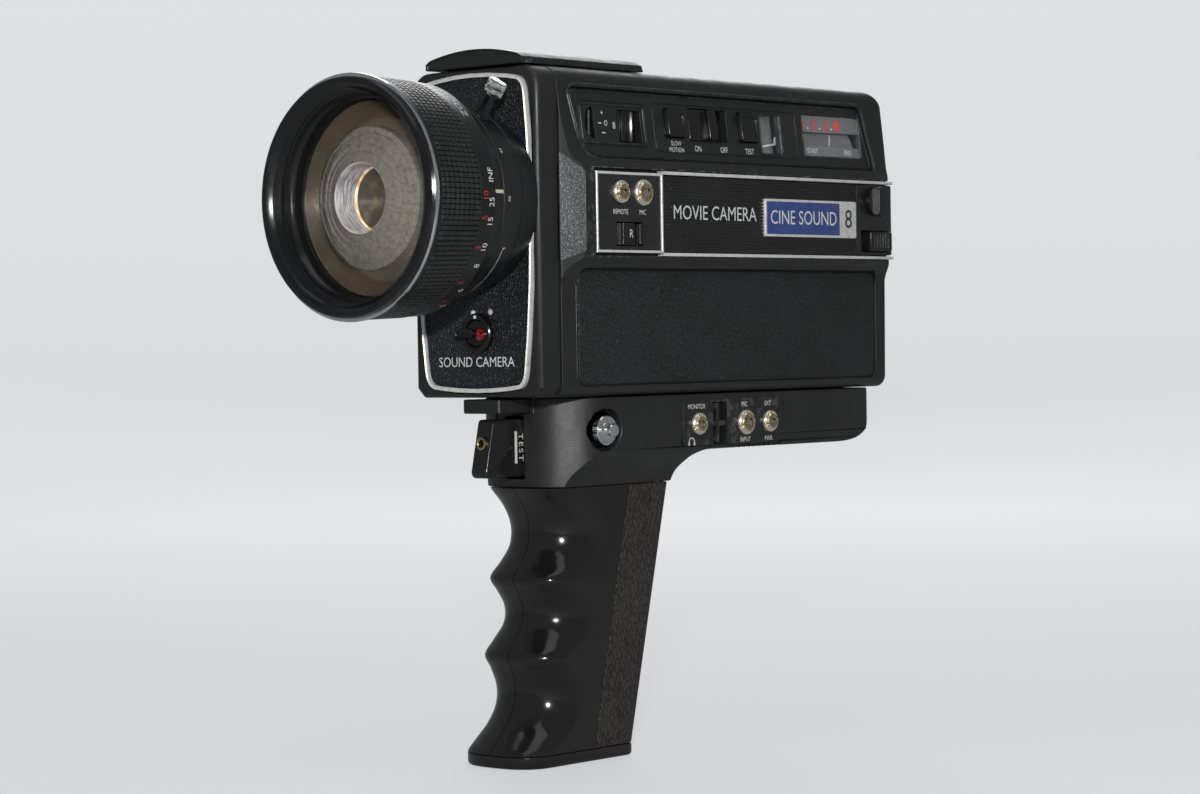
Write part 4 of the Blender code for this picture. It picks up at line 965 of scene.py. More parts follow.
def band_controls():
    front, rear, low, high = MODE_WINDOW
    slide = slab(rectangle(front + 0.3, front + 8.4, low + 0.3, high - 0.3), along_x, 26.4, 30.8)
    ridge = slab(rectangle(front + 1.2, front + 3.8, low + 0.3, high - 0.3), along_x, 30, 32.3, 0.3)
    piece("mode_key", slide, "knob", body="mode_slider", node="run_mode_slide", adds=(ridge,), bevel=0.15)
    stop = slab(rectangle(rear - 3.2, rear + 0.3, low + 0.5, high - 0.5), along_x, 30.9, 32, 0.3)
    piece("mode_stop", stop, "knob", bevel=0.1)

    front, rear, low, high = LEVEL_WINDOW
    key = slab(rectangle(front + 3, rear - 0.3, low + 0.3, high - 0.3, 0.8), along_x, 26.4, 32.4, 0.4)
    lines = [block((32.1, front + 4.9 + k * 1.5, low + 1.2),
        (33, front + 5.3 + k * 1.5, high - 1.2)) for k in range(6)]
    piece("level_key", key, "knob", body="level_slider", node="level_slide", cuts=lines, bevel=0.12)

    y, z = SOUND_KNOB
    profile = ((0, 24), (1.5, 24), (1.5, 31.2), (4.8, 31.2), (4.8, 33.3), (4.5, 33.9), (3.9, 34.1),
        (0, 34.1))
    cuts = [block((32.6, y + 0.9, z - 6), (35, y + 6, z + 6)),
        block((32.6, y - 6, z - 6), (35, y - 0.9, z + 6))]
    piece("sound_dial", turned(profile, along_x, SOUND_KNOB, 48), "knob", body="sound_selector",
          node="sound_knob", cuts=cuts, bevel=0.12)


def jack(name, node, centre, seat, nut, bore):
    """Round slotted nut with a chamfer, the socket's brass throat inside it."""
    profile = ((0, seat - 5.8), (nut - 1, seat - 5.8), (nut - 1, seat + 0.1), (nut, seat + 0.1),
        (nut, seat + 0.9), (nut - 0.35, seat + 1.3), (bore + 1.15, seat + 1.3),
        (bore + 0.95, seat + 1.75), (bore + 0.25, seat + 1.75), (bore, seat + 1.5), (bore, seat - 4.4),
        (0, seat - 4.4))
    y, z = centre
    slot = 0.45
    cuts = []
    for turn in (25, 115):
        notch = block((seat + 0.75, y - nut - 1, z - slot), (seat + 4, y + nut + 1, z + slot))
        cuts.append(tilted(notch, turn, "X", (0, y, z)))
    piece(name, turned(profile, along_x, centre, 48), "nickel", node=node, cuts=cuts, bevel=0.06)
    lip, wall = bore + 0.02, bore + 1
    sleeve = ((lip, seat - 4), (wall, seat - 4), (wall, seat + 1.78), (bore + 0.6, seat + 1.95))
    sleeve += ((lip, seat + 1.7),)
    piece(f"{name}_throat", turned(sleeve, along_x, centre, 40), "bush")
    # dark plug at the bottom of the bore: painted shade
    piece(f"{name}_dark", rod(bore, along_x, centre, seat - 4.3, seat - 1.4, 32), "hole_shade")


def jacks():
    jack("remote_nut", "remote_jack", REMOTE_JACK, 30.75, 3.5, 1.25)
    jack("mic_nut", "mic_jack", MIC_JACK, 30.75, 4, 1.8)
    jack("monitor_nut", "monitor_jack", MONITOR_JACK, LOWER + 0.25, 3.5, 1.25)
    jack("input_nut", "input_jack", INPUT_JACK, LOWER + 0.25, 4, 1.8)
    jack("power_nut", "power_jack", POWER_JACK, LOWER + 0.25, 3.5, 1.25)


# ---------------------------------------------------------------- front and top


def face_outline(grow, foot=18.6, head=19.7, low=-54.2, high=34.4, side=2.9, cap=2.2, sole=1.5):
    """The front plate's outline grown outwards: bowed sides, top and bottom, round corners."""
    foot, head, low, high = foot + grow, head + grow, low - grow, high + grow
    corners = ((-foot, low), (foot, low), (head, high), (-head, high))
    bows = (sole, side, cap, side)
    points = []
    radii = []
    for i, corner in enumerate(corners):
        between = bowed(corner, corners[(i + 1) % 4], bows[i], 6)
        points += [corner] + between
        radii += [3.2 + grow] + [0] * len(between)
    return rounded(points, radii, 6)


def housing_outline(grow):
    shoulder = arc((19.6, 33.5), 6.6 + grow, 0, 90, 8)
    half = [(23.4 + grow, -59.3 - grow), (26.2 + grow, -56.5 - grow)] + shoulder
    return mirrored(half)


def front_housing():
    cuts = [slab(face_outline(2.35), along_y, -5, 1.4),
        slab(inset(housing_outline(0), 2.2), along_y, 3.4, 12),
        rod(20.2, along_y, (0, 0), -2, 12, 64), rod(1.9, along_y, FILTER, -2, 12, 24)]
    outline = housing_outline(0)
    rings = []
    for k in range(6):
        angle = math.radians(90 * k / 5)
        depth = 1.8 * (1 - math.sin(angle))
        shrink = 1.8 * (1 - math.cos(angle))
        rings.append([(a, depth, b) for a, b in inset(outline, shrink)])
    rings.reverse()
    rings.append([(a, 8.6, b) for a, b in outline])
    piece("bezel_shell", loft(rings), "casing", node="front_housing", cuts=cuts, bevel=0.2)


def front_plate():
    plate = slab(face_outline(0.75), along_y, 1.3, 0.15, 0.2)
    holes = (rod(20.2, along_y, (0, 0), -2, 3, 64), rod(1.9, along_y, FILTER, -2, 3, 24))
    piece("grained_plate", plate, "front_leather", node="front_plate", cuts=holes)
    trim = frame_of(face_outline(2.1), 1.25, along_y, 1.35, -0.35, 0.3)
    piece("bright_trim", trim, "silver", node="front_trim")
    for name, look, x, z, radius in (("white_dot", "paint_white", -1.4, -33.6, 0.85),
                                     ("pink_dot", "lens_pink", 5.7, -33.4, 0.95)):
        dot = turned(((0, 0.6), (radius, 0.6), (radius, -0.1), (radius * 0.6, -0.45), (0, -0.6)),
            along_y, (x, z), 24)
        piece(name, dot, look)


def filter_knob():
    x, z = FILTER
    profile = ((0, 11.5), (1.5, 11.5), (1.5, 0), (6.1, 0), (6.1, -1.3), (5.6, -1.8), (4.4, -1.8),
        (3.8, -1.2), (0, -1))
    bar = [(x - 5.6, z - 1.3), (x + 1.6, z - 1.3), (x + 1.6, z + 1.3), (x - 5.6, z + 1.3)]
    piece("filter_dial", turned(profile, along_y, FILTER, 48), "lens_gloss", body="filter_selector",
          node="filter_knob", adds=(slab(rounded(bar, 0.7, 4), along_y, -0.9, -4.3, 0.5),), bevel=0.12)
    red = turned(((0, -1), (1.7, -1), (1.7, -2.6), (1.1, -3), (0, -3.1)), along_y,
        (x + 2.6, z - 0.4), 24)
    piece("filter_lamp", red, "lamp_red", body="filter_selector")
    dot = turned(((0, -1.2), (0.55, -1.2), (0.55, -2), (0, -2.15)), along_y, (x + 0.2, z + 4.9), 16)
    piece("filter_index", dot, "paint_white", body="filter_selector")


def fairing():
    half = [(20, 40.7), (20, 42.6), (18.2, 43.7)]
    section = half + bowed((18.2, 43.7), (-18.2, 43.7), 2.3, 14) + [(-x, z) for x, z in reversed(half)]
    slant = [(53.4, 48), (56.4, 40), (60, 40), (60, 48)]
    cuts = [slab(slant, along_x, -30, 30)]
    for side in (-1, 1):
        low, high = sorted((side * 19.75, side * 21))
        cuts.append(block((low, 4, 40), (high, 4.7, 44)))
    piece("finder_fairing", slab(section, along_y, 58, 1.1, 1), "casing", node="top_fairing",
          cuts=cuts, bevel=0.25)
    dome = ((0, 40.4), (5.2, 40.4), (5.2, 41), (4.7, 41.2), (4.7, 44), (4.2, 45.2), (3, 46.1),
        (1.5, 46.5), (0, 46.5))
    slot = block((-3.4, 65.7, 45.4), (3.4, 66.7, 48))
    piece("accessory_cap", turned(dome, along_z, (0, 66.2), 48), "satin", node="top_cap", cuts=(slot,))


# ---------------------------------------------------------------- lens

RING_REAR = -26.8


def ring_radius(y):
    return 34.85 - 0.05 * (y + 33.5)


def cone_radius(y):
    return 32.6 + (26.6 - 32.6) * (y + 26.4) / 26


def knurled_band(front, rear, radius_front, radius_rear, round_count, long_count, depth):
    """Square studs in rows round a ring."""
    shares = ((0, 0), (0.16, 1), (0.84, 1))
    steps = [(i + share, high) for i in range(long_count) for share, high in shares] + [(long_count, 0)]
    turns = [(i + share, high) for i in range(round_count) for share, high in shares]

    def ring(y, radius_of):
        points = []
        for turn, high in turns:
            radius = radius_of(high)
            angle = 2 * math.pi * turn / round_count
            points.append((radius * math.cos(angle), y, radius * math.sin(angle)))
        return points

    rows = []
    for along, high_row in steps:
        t = along / long_count
        base = radius_front + (radius_rear - radius_front) * t
        rows.append(ring(front + (rear - front) * t,
            lambda high: base if high and high_row else base - depth))
    rows += [ring(y, lambda high: radius_rear - depth - 0.6) for y in (rear, front)]
    return loft(rows, closed=True)


def front_rim():
    thread = []
    for k in range(6):
        y = -53.7 + k * 0.62
        thread += [(31.6, y), (31.2, y + 0.31)]
    profile = [(31.9, -53.1), (35, -53.1), (35, -54.4), (34.7, -54.9), (34.1, -55.15), (33.2, -55.1),
        (32, -54.3)]
    profile += thread + [(31.2, -49.9), (30.5, -49.6), (30.3, -48.6), (29.6, -47.6), (29.2, -47.2),
        (29, -46.6)]
    profile += [(29, -43.9), (28.6, -43.2), (28.6, -41), (31.9, -41)]
    piece("rim_ring", lens_turned(profile), "lens_gloss", body="focus_group",
          node="filter_rim", crease=28)
    bright = ((34.4, -53.15), (35.75, -53.15), (36.05, -52.95), (36.1, -52.35), (35.8, -52.1), (34.4, -52.1))
    piece("chrome_band", lens_turned(bright, 160), "chrome", body="focus_group")


def focusing_ring():
    profile = [(34.4, -52.05), (35.6, -52.05), (35.8, -51.85), (35.8, -50.5), (35.5, -50.1), (34.5, -50)]
    profile += [(34.2, -33.7), (ring_radius(-33.5) - 0.15, -33.6), (ring_radius(-33.3), -33.35)]
    profile += [(ring_radius(-27.3), -27.3), (34.1, RING_REAR), (31.2, RING_REAR), (31.2, -38.8),
        (32.3, -39.4), (32.3, -52.05)]
    piece("ring_body", lens_turned(profile, 160), "lens_black", body="focus_group",
          node="focus_ring", crease=28)
    knurl = knurled_band(-50, -33.6, 35.55, 35, 144, 8, 0.6)
    piece("ring_knurl", knurl, "knurl", body="focus_group", crease=25)
    dress("focus_helicoid", "alloy")


def barrel():
    collar = [(24.2, -26.2), (cone_radius(-26.2) - 0.4, -26.2), (cone_radius(-25.8), -25.8)]
    collar += [(cone_radius(-20.4), -20.4), (cone_radius(-20.4) - 0.15, -20.2), (24.2, -20.2)]
    neck = [(24.2, -9.1), (cone_radius(-9.1) - 0.15, -9.1), (cone_radius(-8.9), -8.9), (26.9, -2),
        (26.5, -0.6)]
    neck += [(19.7, -0.5), (19.7, 37), (17.7, 37), (17.7, -2), (21.6, -4), (21.6, -35.9),
        (23.9, -35.9)]
    neck.append((23.9, -9.1))
    piece("barrel_collar", lens_turned(collar), "lens_black", node="lens_barrel")
    piece("barrel_neck", lens_turned(neck), "lens_black")


def zooming_ring():
    profile = [(24.4, -20), (cone_radius(-20) - 0.2, -20), (cone_radius(-19.8), -19.8)]
    profile += [(cone_radius(-9.6), -9.6), (cone_radius(-9.4) - 0.2, -9.4), (24.4, -9.4)]
    piece("zoom_sleeve", lens_turned(profile), "lens_black", body="zoom_group", node="zoom_ring")
    turn = 90 - 54
    stalk = loft([[(x * 1.15, -15 + y * 1.25, 30) for x, y in rectangle(-2.2, 2.2, -2.4, 2.4, 1)],
        [(x, -15 + y, 31.6) for x, y in rectangle(-1.5, 1.5, -1.9, 1.9, 0.8)],
        [(x, -15 + y, 35.6) for x, y in rectangle(-1.2, 1.2, -1.6, 1.6, 0.7)],
        [(x, -15 + y, 37.9) for x, y in rectangle(-1.2, 1.2, -1.6, 1.6, 0.7)]])
    piece("zoom_stalk", tilted(stalk, turn, "Y"), "lens_gloss", body="zoom_group", node="zoom_lever")
    outline = toothed((0, -15), 40, ((0, 2.95), (0.5, 2.72)))
    lower = slab(outline, along_z, 37.7, 39.4, 0.15, 0.15)
    upper = slab(outline, along_z, 39.9, 41.9, 0.4, 0.15)
    core = rod(2.45, along_z, (0, -15), 37.8, 41.6, 40)
    knob = joined(lower, upper, core)
    piece("zoom_knob", tilted(knob, turn, "Y"), "chrome", body="zoom_group", crease=25)


def glass_profile(front, edge, radius, thickness, steps=14):
    """Section of a meniscus with a domed front and a parallel back."""
    outer = []
    inner = []
    for i in range(steps + 1):
        r = radius * i / steps
        y = front + (edge - front) * (r / radius) ** 2
        outer.append((r, y))
        inner.append((r, y + thickness))
    return outer + list(reversed(inner))


def lens_inside():
    """Front glass and what shows through it: the brown wall, the seats painted light grey as reflection of
    the inner glass, the hole's wall painted bright as a reflected crescent, and the pupil, painted as dim
    shade with a rim painted as a highlight.
    """
    glass = piece("front_lens", lens_turned(glass_profile(-50.6, -43.6, 28.5, 1), 96),
                  "front_glass", body="focus_group", node="front_element")
    glass.visible_shadow = False
    wall = []
    ribs = 22
    for k in range(ribs):
        r = 28.5 - (28.5 - 21) * k / ribs
        y = -42.2 + 0.8 * k / ribs
        wall += [(r, y), (r - 0.18, y - 0.22)]
    wall += [(21, -41.6), (20.6, -38.2), (28.5, -38.2)]
    piece("lens_wall", lens_turned(wall), "amber_wall", body="focus_group", crease=60)
    # the seats' light grey is painted reflection of the inner glass
    seat = [(20.9, -41.8), (20.7, -44.2), (19.2, -45), (18.9, -44.8), (17.6, -45.7), (15.9, -46.2),
        (15.6, -46)]
    seat += [(13.6, -47), (13.3, -46.8), (11.6, -47.6), (10.5, -47.9), (10.5, -46.6), (20.9, -38.4)]
    piece("lens_seat", lens_turned(seat), "seat_painted_reflection", body="focus_group", crease=50)
    # the hole's bright wall is a painted reflection
    hole = [(10.4, -47.8), (10.15, -47.6), (9.75, -39.6), (9.75, -38.6), (10.4, -38.6)]
    piece("lens_hole", lens_turned(hole), "crescent_painted_reflection", body="focus_group")
    # opaque disc painted as the shade deep in the lens
    disc = ((0, -40), (9.7, -39.9), (9.7, -38.8), (0, -38.8))
    piece("lens_pupil", lens_turned(disc, 96), "pupil", body="focus_group")
    # thin ring painted bright as a highlight at the pupil's edge
    edge = ((9.25, -40.05), (9.75, -40.5), (9.8, -39.9), (9.3, -39.85))
    piece("lens_pupil_rim", lens_turned(edge, 96), "pupil_rim_highlight", body="focus_group")
    group = ((0, -30), (17, -28.5), (21, -28.5), (21, -20), (17, -20), (0, -21.5))
    inner = piece("variator_lens", lens_turned(group, 64), "inner_glass", body="variator",
                  node="variator_group")
    inner.visible_shadow = False


# ---------------------------------------------------------------- lower chassis and trigger


def lower_jack_holes():
    return [rod(3.4, along_x, centre, 15, 30) for centre in (MONITOR_JACK, INPUT_JACK, POWER_JACK)]


def lower_chassis():
    grip_top = -87.2
    side = [(12.4, -59.8), (12.4, grip_top), (71, grip_top), (71.6, -83), (74.5, -79.4)]
    side += [(80, -77.5), (154, -77.5), (160.5, -76.4), (165.3, -72.6), (167.6, -67), (168, -59.8)]
    side = rounded(side, (0, 0, 0, 1.5, 1.5, 3, 4, 3, 3, 3, 0), 5)
    flank = [(-LOWER, -59), (-LOWER, -73.5), (-23.4, -77.3), (-17.2, -84.4), (-15.8, -88)]
    flank = rounded(mirrored(flank), (0, 2, 3, 3, 0, 0, 3, 3, 2, 0), 5)
    half = [(10.5, 16), (24.8, 28.5), (24.8, 164), (21, 168.5)]
    lock_bore = ((0, 17.8), (5.4, 17.8), (5.4, 21.6), (6.1, 22.2), (6.9, 24.6), (6.9, 30), (0, 30))
    lug = rounded([(-8, 1.4), (7.5, 1.4), (7.5, 20), (-8, 20)], (1.5, 1.5, 0, 0))
    nose = rounded(mirrored(half), (7, 10, 3, 3, 3, 3, 10, 7), 8)
    cuts = [block((-22, 28, -75), (22, 164.5, -50)),
        block((-13, 30, -95), (13, 66, -70)), block((-3.8, 0, -84.4), (3.8, 26.5, -65.4)),
        block((21, PLUG_SLOT[0], PLUG_SLOT[2]), (30, PLUG_SLOT[1], PLUG_SLOT[3])),
        turned(lock_bore, along_x, LOCK_BUTTON, 48), rod(1.9, along_x, LOCK_BUTTON, 9, 19, 32)]
    cuts += lower_jack_holes()
    cuts += [block((-20, 96 + 2.6 * k, -79), (26, 97.3 + 2.6 * k, -76.6)) for k in range(9)]
    piece("saddle", slab(side, along_x, -LOWER, LOWER), "chassis", node="lower_chassis",
        keeps=(slab(flank, along_y, 0, 180), slab(nose, along_z, -92, -50)),
        adds=(slab(lug, along_z, -64.2, -59.85),), cuts=cuts, bevel=0.45, bevel_angle=30)
    plate = rectangle(67.2, 116, -76.2, -61.5, 1.2)
    holes = lower_jack_holes() + [side_cutter(PLUG_SLOT)]
    piece("socket_field", slab(plate, along_x, LOWER - 0.3, LOWER + 0.2, 0.12), "satin", cuts=holes,
        bevel=0.06)
    divider = block((22, PLUG_SLOT[0] + 0.3, -70.3), (24.2, PLUG_SLOT[1] - 0.3, -68.6))
    stem = block((22, PLUG_SLOT[0] + 3.1, -75.7), (23.8, PLUG_SLOT[0] + 4.3, -62.9))
    piece("slot_divider", divider, "satin", adds=(stem,), bevel=0.15)
    # floor of the plug slot in near black: painted shade
    piece("slot_floor", block((21, PLUG_SLOT[0] - 0.5, -76.4), (22.1, PLUG_SLOT[1] + 0.5, -62.2)), "hole_shade")


def lock_button():
    profile = ((0, 16), (1.5, 16), (1.5, 22.4), (4.6, 22.4), (4.6, 24.2), (4.3, 24.5), (2.6, 24.5),
        (2.5, 24.9))
    profile += ((2.2, 25), (2.1, 27), (1.8, 27.5), (0, 27.6))
    piece("lock_pin", turned(profile, along_x, LOCK_BUTTON, 48), "chrome", body="lock_plunger",
          node="lock_button", crease=28)


def trigger():
    side = [(3.4, -66), (-0.3, -82.4), (0.8, -83.8), (22, -83.8), (22, -66)]
    side = rounded(side, (1.2, 1.2, 1, 0.5, 0.5), 5)
    piece("trigger_block", slab(side, along_x, -3.3, 3.3, 0.6, 0.6, 4), "trigger_black",
        body="trigger_group",
          node="trigger", cuts=(rod(2.15, along_y, RELEASE, -8, 9.5, 40),), bevel=0.15)
    bush = ((1.15, 1.2), (1.4, 0.9), (1.95, 1), (2.05, 1.4), (2.05, 9), (0, 9), (0, 6),
        (1.15, 6))
    piece("release_bush", turned(tuple(reversed(bush)), along_y, RELEASE, 40), "bush", body="trigger_group",
          node="release_socket")


# ---------------------------------------------------------------- grip

GRIP_TOP = -87.45
GRIP_FOOT = -168
GRIP_HALF = 15.6
FRONT_PROFILE = ((GRIP_TOP, 14.9), (-93.1, 19.6), (-99, 21.6), (-105.7, 21), (-110.6, 17.9),
    (-115.4, 14.2), (-119.4, 16.4), (-124, 18.4), (-129.5, 17.6), (-135.2, 13.6), (-139.1, 11.2),
    (-143, 13.2), (-148.6, 14.6), (-154.5, 13.4), (-160.4, 9.6), (-165.6, 4.6), (GRIP_FOOT, 2.6))
RIDGES = (GRIP_TOP, -115.4, -139.1, -170)


def grip_front(z):
    """Front of the grip at a height: a smooth curve through the profile's points."""
    points = FRONT_PROFILE
    for i in range(len(points) - 1):
        (high, first), (low, last) = points[i], points[i + 1]
        if z >= low or i == len(points) - 2:
            t = min(max((high - z) / (high - low), 0), 1)
            before = points[max(i - 1, 0)][1]
            after = points[min(i + 2, len(points) - 1)][1]
            start = (last - before) / 2 if i else last - first
            end = (after - first) / 2
            return (
                first * (2 * t**3 - 3 * t**2 + 1) + start * (t**3 - 2 * t**2 + t)
                + last * (3 * t**2 - 2 * t**3) + end * (t**3 - t**2)
            )
    return points[-1][1]


def hollow(z):
    """0 on a ridge between fingers, 1 where a finger lies, leaning to the hollow's lower side."""
    for high, low in zip(RIDGES, RIDGES[1:]):
        if z >= low:
            t = (high - z) / (high - low)
            return math.sin(math.pi * t**1.15) ** 1.4
    return 0


def grip_rear(z):
    return 72 + 0.2385 * (z + 87.5)


def pad_front(z):
    return 51.5 + (33.7 - 51.5) * (z + 87.5) / -79.6


def nose_points(z, half, steps=14):
    """Round front of the grip's plan, from the middle to the flank; fuller on the ridges."""
    front = grip_front(z)
    depth = 11 + 5.5 * hollow(z)
    power = 0.70 + 0.20 * hollow(z)
    points = []
    for i in range(1, steps + 1):
        angle = math.radians(90 * i / steps)
        points.append((half * math.sin(angle) ** power, front + depth * (1 - math.cos(angle) ** 0.9)))
    return [(0, front)] + points


def bay_front(z):
    return grip_rear(z) - 1.6 - 0.3 - 1.6 - 29


def grip_halves():
    levels = [GRIP_TOP + (GRIP_FOOT - GRIP_TOP) * i / 80 for i in range(81)]
    for name, node, sign in (("grip_shell_left", "grip_left", 1),
        ("grip_shell_right", "grip_right", -1)):
        rings = []
        for z in levels:
            rear = pad_front(z) - 0.25
            back = grip_rear(z) - 1.9
            outline = [(SEAM, grip_front(z) + 0.02)] + nose_points(z, GRIP_HALF)[1:]
            outline += [(GRIP_HALF, rear), (GRIP_HALF - 1.1, rear), (GRIP_HALF - 1.1, back - 2.6),
                (GRIP_HALF - 4.3, back), (SEAM, back)]
            rings.append([(sign * x, y, z) for x, y in outline])
        bay = []
        for z in (GRIP_TOP - 14, GRIP_FOOT - 2):
            front = bay_front(z)
            bay.append([(x, y, z) for x, y in rectangle(-14, 14, front, front + 29)])
        piece(name, loft(rings), "gloss", node=node, crease=40,
              cuts=(loft(bay), rod(3.5, along_z, TRIPOD, -175, -164.6)))
    dress("battery_cells", "cell_jacket")


def grip_pad():
    rings = []
    for k in range(13):
        z = GRIP_TOP + (GRIP_FOOT - GRIP_TOP) * k / 12
        rear = grip_rear(z)
        front = pad_front(z) + 0.1
        outer = [(15.85, front)] + [(x, y) for x, y in arc((11.6, rear - 4.25), 4.25, 0, 90, 8)]
        inner = [(10.4, rear - 1.5), (14.8, rear - 4.6), (14.8, front)]
        plan = outer + [(-x, y) for x, y in reversed(outer)] + [(-x, y) for x, y in reversed(inner)] + inner
        rings.append([(x, y, z) for x, y in plan])
    piece("grip_back", loft(rings), "pad_leather", node="grip_rear_pad", bevel=0.3)


def grip_base():
    rear = grip_rear(GRIP_FOOT)
    half = nose_points(GRIP_FOOT, GRIP_HALF) + arc((12, rear - 3.6), 3.6, 0, 90, 6)
    plan = half + [(-x, y) for x, y in reversed(half[1:])]
    foot = slab(plan, along_z, -172, GRIP_FOOT - 0.25, 0.2, 1.3, 4)
    cuts = (block((-14, 20, -180), (14, 49.2, -160)),
        rod(5, along_z, TRIPOD, -180, -160, 48))
    piece("foot", foot, "gloss", node="base_plate", cuts=cuts, crease=40)
    bush = turned(((3.2, -171.6), (3.5, -171.8), (4.6, -171.8), (4.7, -171.6), (4.7, -168.3),
        (3.2, -168.3)), along_z, TRIPOD, 48)
    piece("tripod_ring", bush, "bush", node="tripod_bush")
    hatch = slab(rectangle(-13.7, 13.7, 20.3, 48.9, 0.8), along_z, -171.7, -169.5, 0.1, 0.3)
    grooves = [block((-5, 23 + k * 1.5, -172.5), (5, 23.7 + k * 1.5, -171.4)) for k in range(4)]
    piece("hatch_lid", hatch, "gloss", body="hatch", node="battery_hatch", cuts=grooves, bevel=0.12)


# ---------------------------------------------------------------- finder


def finder():
    tube = [(0, 38), (6.8, 38), (6.8, 172.3), (9.2, 172.3), (9.2, 174.9), (8.8, 175.3), (6.8, 175.4)]
    tube += [(6.8, 183), (5.6, 183), (5.2, 181.2), (0, 181)]
    piece("finder_tube", turned(tube, along_y, FINDER, 64), "satin", node="viewfinder_tube")
    eye = piece("finder_lens", turned(((0, 181.1), (5.1, 181.1), (5.1, 181.6), (3, 182.2),
        (0, 182.5)), along_y, FINDER, 48), "inner_glass")
    eye.visible_shadow = False
    outline = toothed(FINDER, 48, ((0, 9.8), (0.5, 9.5)))
    piece("diopter_grip", slab(outline, along_y, 175.8, 180, 0.3, 0.3), "satin", body="diopter",
          node="diopter_ring", cuts=(rod(7.2, along_y, FINDER, 170, 185, 64),), crease=25)
    cup = [(7.1, 180.4), (9.4, 180.4), (9.7, 183), (9.9, 185), (10.5, 188.4), (11.4, 191.4),
        (12, 192.6)]
    cup += [(11.8, 193.2), (11.2, 193.3), (10.3, 192.3), (9.2, 189), (8.3, 185.4), (7.1, 183.4)]
    piece("eye_rubber", turned(cup, along_y, FINDER, 64), "rubber", node="eyecup", crease=50)


def inside():
    """Carried CAD pieces that only show when a cover is open."""
    for node, look in (
        ("chassis_frame", "alloy"),
        ("film_gate", "steel"),
        ("drive_motor", "steel"),
        ("shutter_disc", "satin"),
        ("capstan", "steel"),
        ("takeup_spindle", "satin"),
        ("sound_head", "steel"),
        ("circuit_board", "board"),
    ):
        dress(node, look)


# ---------------------------------------------------------------- printed marks


def panel_text(a0, b0, height=-0.74):
    return lambda a, b: on_panel(a0 + a, b0 + b, height)


def side_text(a0, b0, height):
    return lambda a, b: Vector((height, a0 + a, b0 + b))


def lens_text(angle, y0, radius_at):
    """Lettering that reads upwards round the lens, its head to the front."""

    def put(a, b):
        y = y0 - b
        radius = radius_at(y) + 0.06
        theta = math.radians(angle) + a / radius
        return Vector((radius * math.cos(theta), y, radius * math.sin(theta)))

    return put


def bar(prints, place, width, height, colour="paint_white", body="camera_body"):
    outline = [(-width / 2, -height / 2), (width / 2, -height / 2), (width / 2, height / 2),
        (-width / 2, height / 2)]
    prints.outline(outline, place, colour, body)


def panel_marks(prints):
    prints.text("SLOW", 2.1, panel_text(62.9, 18.5))
    prints.text("MOTION", 2.1, panel_text(62.9, 16.5))
    prints.text("ON", 2.5, panel_text(73.4, 17.2))
    prints.text("OFF", 2.5, panel_text(86.3, 17.2))
    prints.text("TEST", 2.5, panel_text(99.3, 17.2))
    prints.text("+", 2.8, panel_text(29, 26.6))
    prints.text("O", 2.4, panel_text(30.4, 23.5))
    bar(prints, panel_text(29, 20.6), 1.6, 0.35)
    bar(prints, panel_text(27.6, 23.5), 1.5, 0.35)
    prints.text("8", 3, panel_text(34.1, 22.9))
    for k in range(5):
        z = 19 + 2.2 * k
        bar(prints, panel_text(110, z, -5.2), 2.4 if k % 2 else 4, 0.3, "paint_grey")
    prints.text("START", 2.3, panel_text(134.2, 18.9, -2))
    prints.text("END", 2.3, panel_text(153.4, 18.9, -2))
    for y, width in ((129.9, 1.7), (136.2, 1.4), (142.6, 1.4), (147.7, 1.4), (149.4, 1.4)):
        bar(prints, panel_text(y, 27.6, -2), width, 3.2, "paint_red")
    for y in (133, 139.4, 145.6):
        bar(prints, panel_text(y, 26.5, -2), 0.6, 0.6)
    bar(prints, lambda a, b: Vector((23.06, 147.2 + a, 22.9 + b)), 0.5, 3.6, body="counter")


def band_marks(prints):
    prints.text("REMOTE", 2.2, side_text(31.8, -3.6, 30.82))
    prints.text("MIC", 2.2, side_text(42.1, -3.6, 30.82))
    prints.text("R", 3.6, side_text(36.6, -10.2, 30.86), body="mode_slider")
    prints.text("MOVIE CAMERA", 6.3, side_text(77, -3.4, 31), "paint_silver", width=0.92)
    prints.text("CINE SOUND", 6.4, side_text(122, -4, 31.5), "paint_white", width=0.92)
    prints.text("8", 8.6, side_text(146.2, -4, 31.36), "paint_dark", width=1)


def chassis_marks(prints):
    at = LOWER + 0.27
    prints.text("MONITOR", 2.2, side_text(73.9, -63.9, at))
    prints.text("MIC", 2.2, side_text(98, -63.7, at))
    prints.text("INPUT", 2.2, side_text(98.2, -75, at))
    prints.text("EXT", 2.2, side_text(110, -63.7, at))
    prints.text("PWR", 2.2, side_text(110.2, -75, at))
    outer = arc((0, 0), 1.5, 0, 180, 10)
    inner = arc((0, 0), 1.15, 180, 0, 10)
    prints.outline(outer + inner, side_text(71.2, -75, at))
    for side in (-1.3, 1.3):
        bar(prints, side_text(71.2 + side, -75.4, at), 0.7, 1.2)


def front_marks(prints):
    prints.text("SOUND CAMERA", 4.3, lambda a, b: Vector((-0.4 + a, 0.05, -48.6 + b)), "paint_silver",
        width=0.95)
    y_bar = lambda a, b: Vector((3.36, 13 + a, -74.7 + b))
    bar(prints, y_bar, 1.1, 9.8, body="trigger_group")
    prints.text("TEST", 2.7, lambda a, b: Vector((3.36, 15.2 + b, -74.7 - a)), body="trigger_group",
        width=1.25, spacing=1.25)


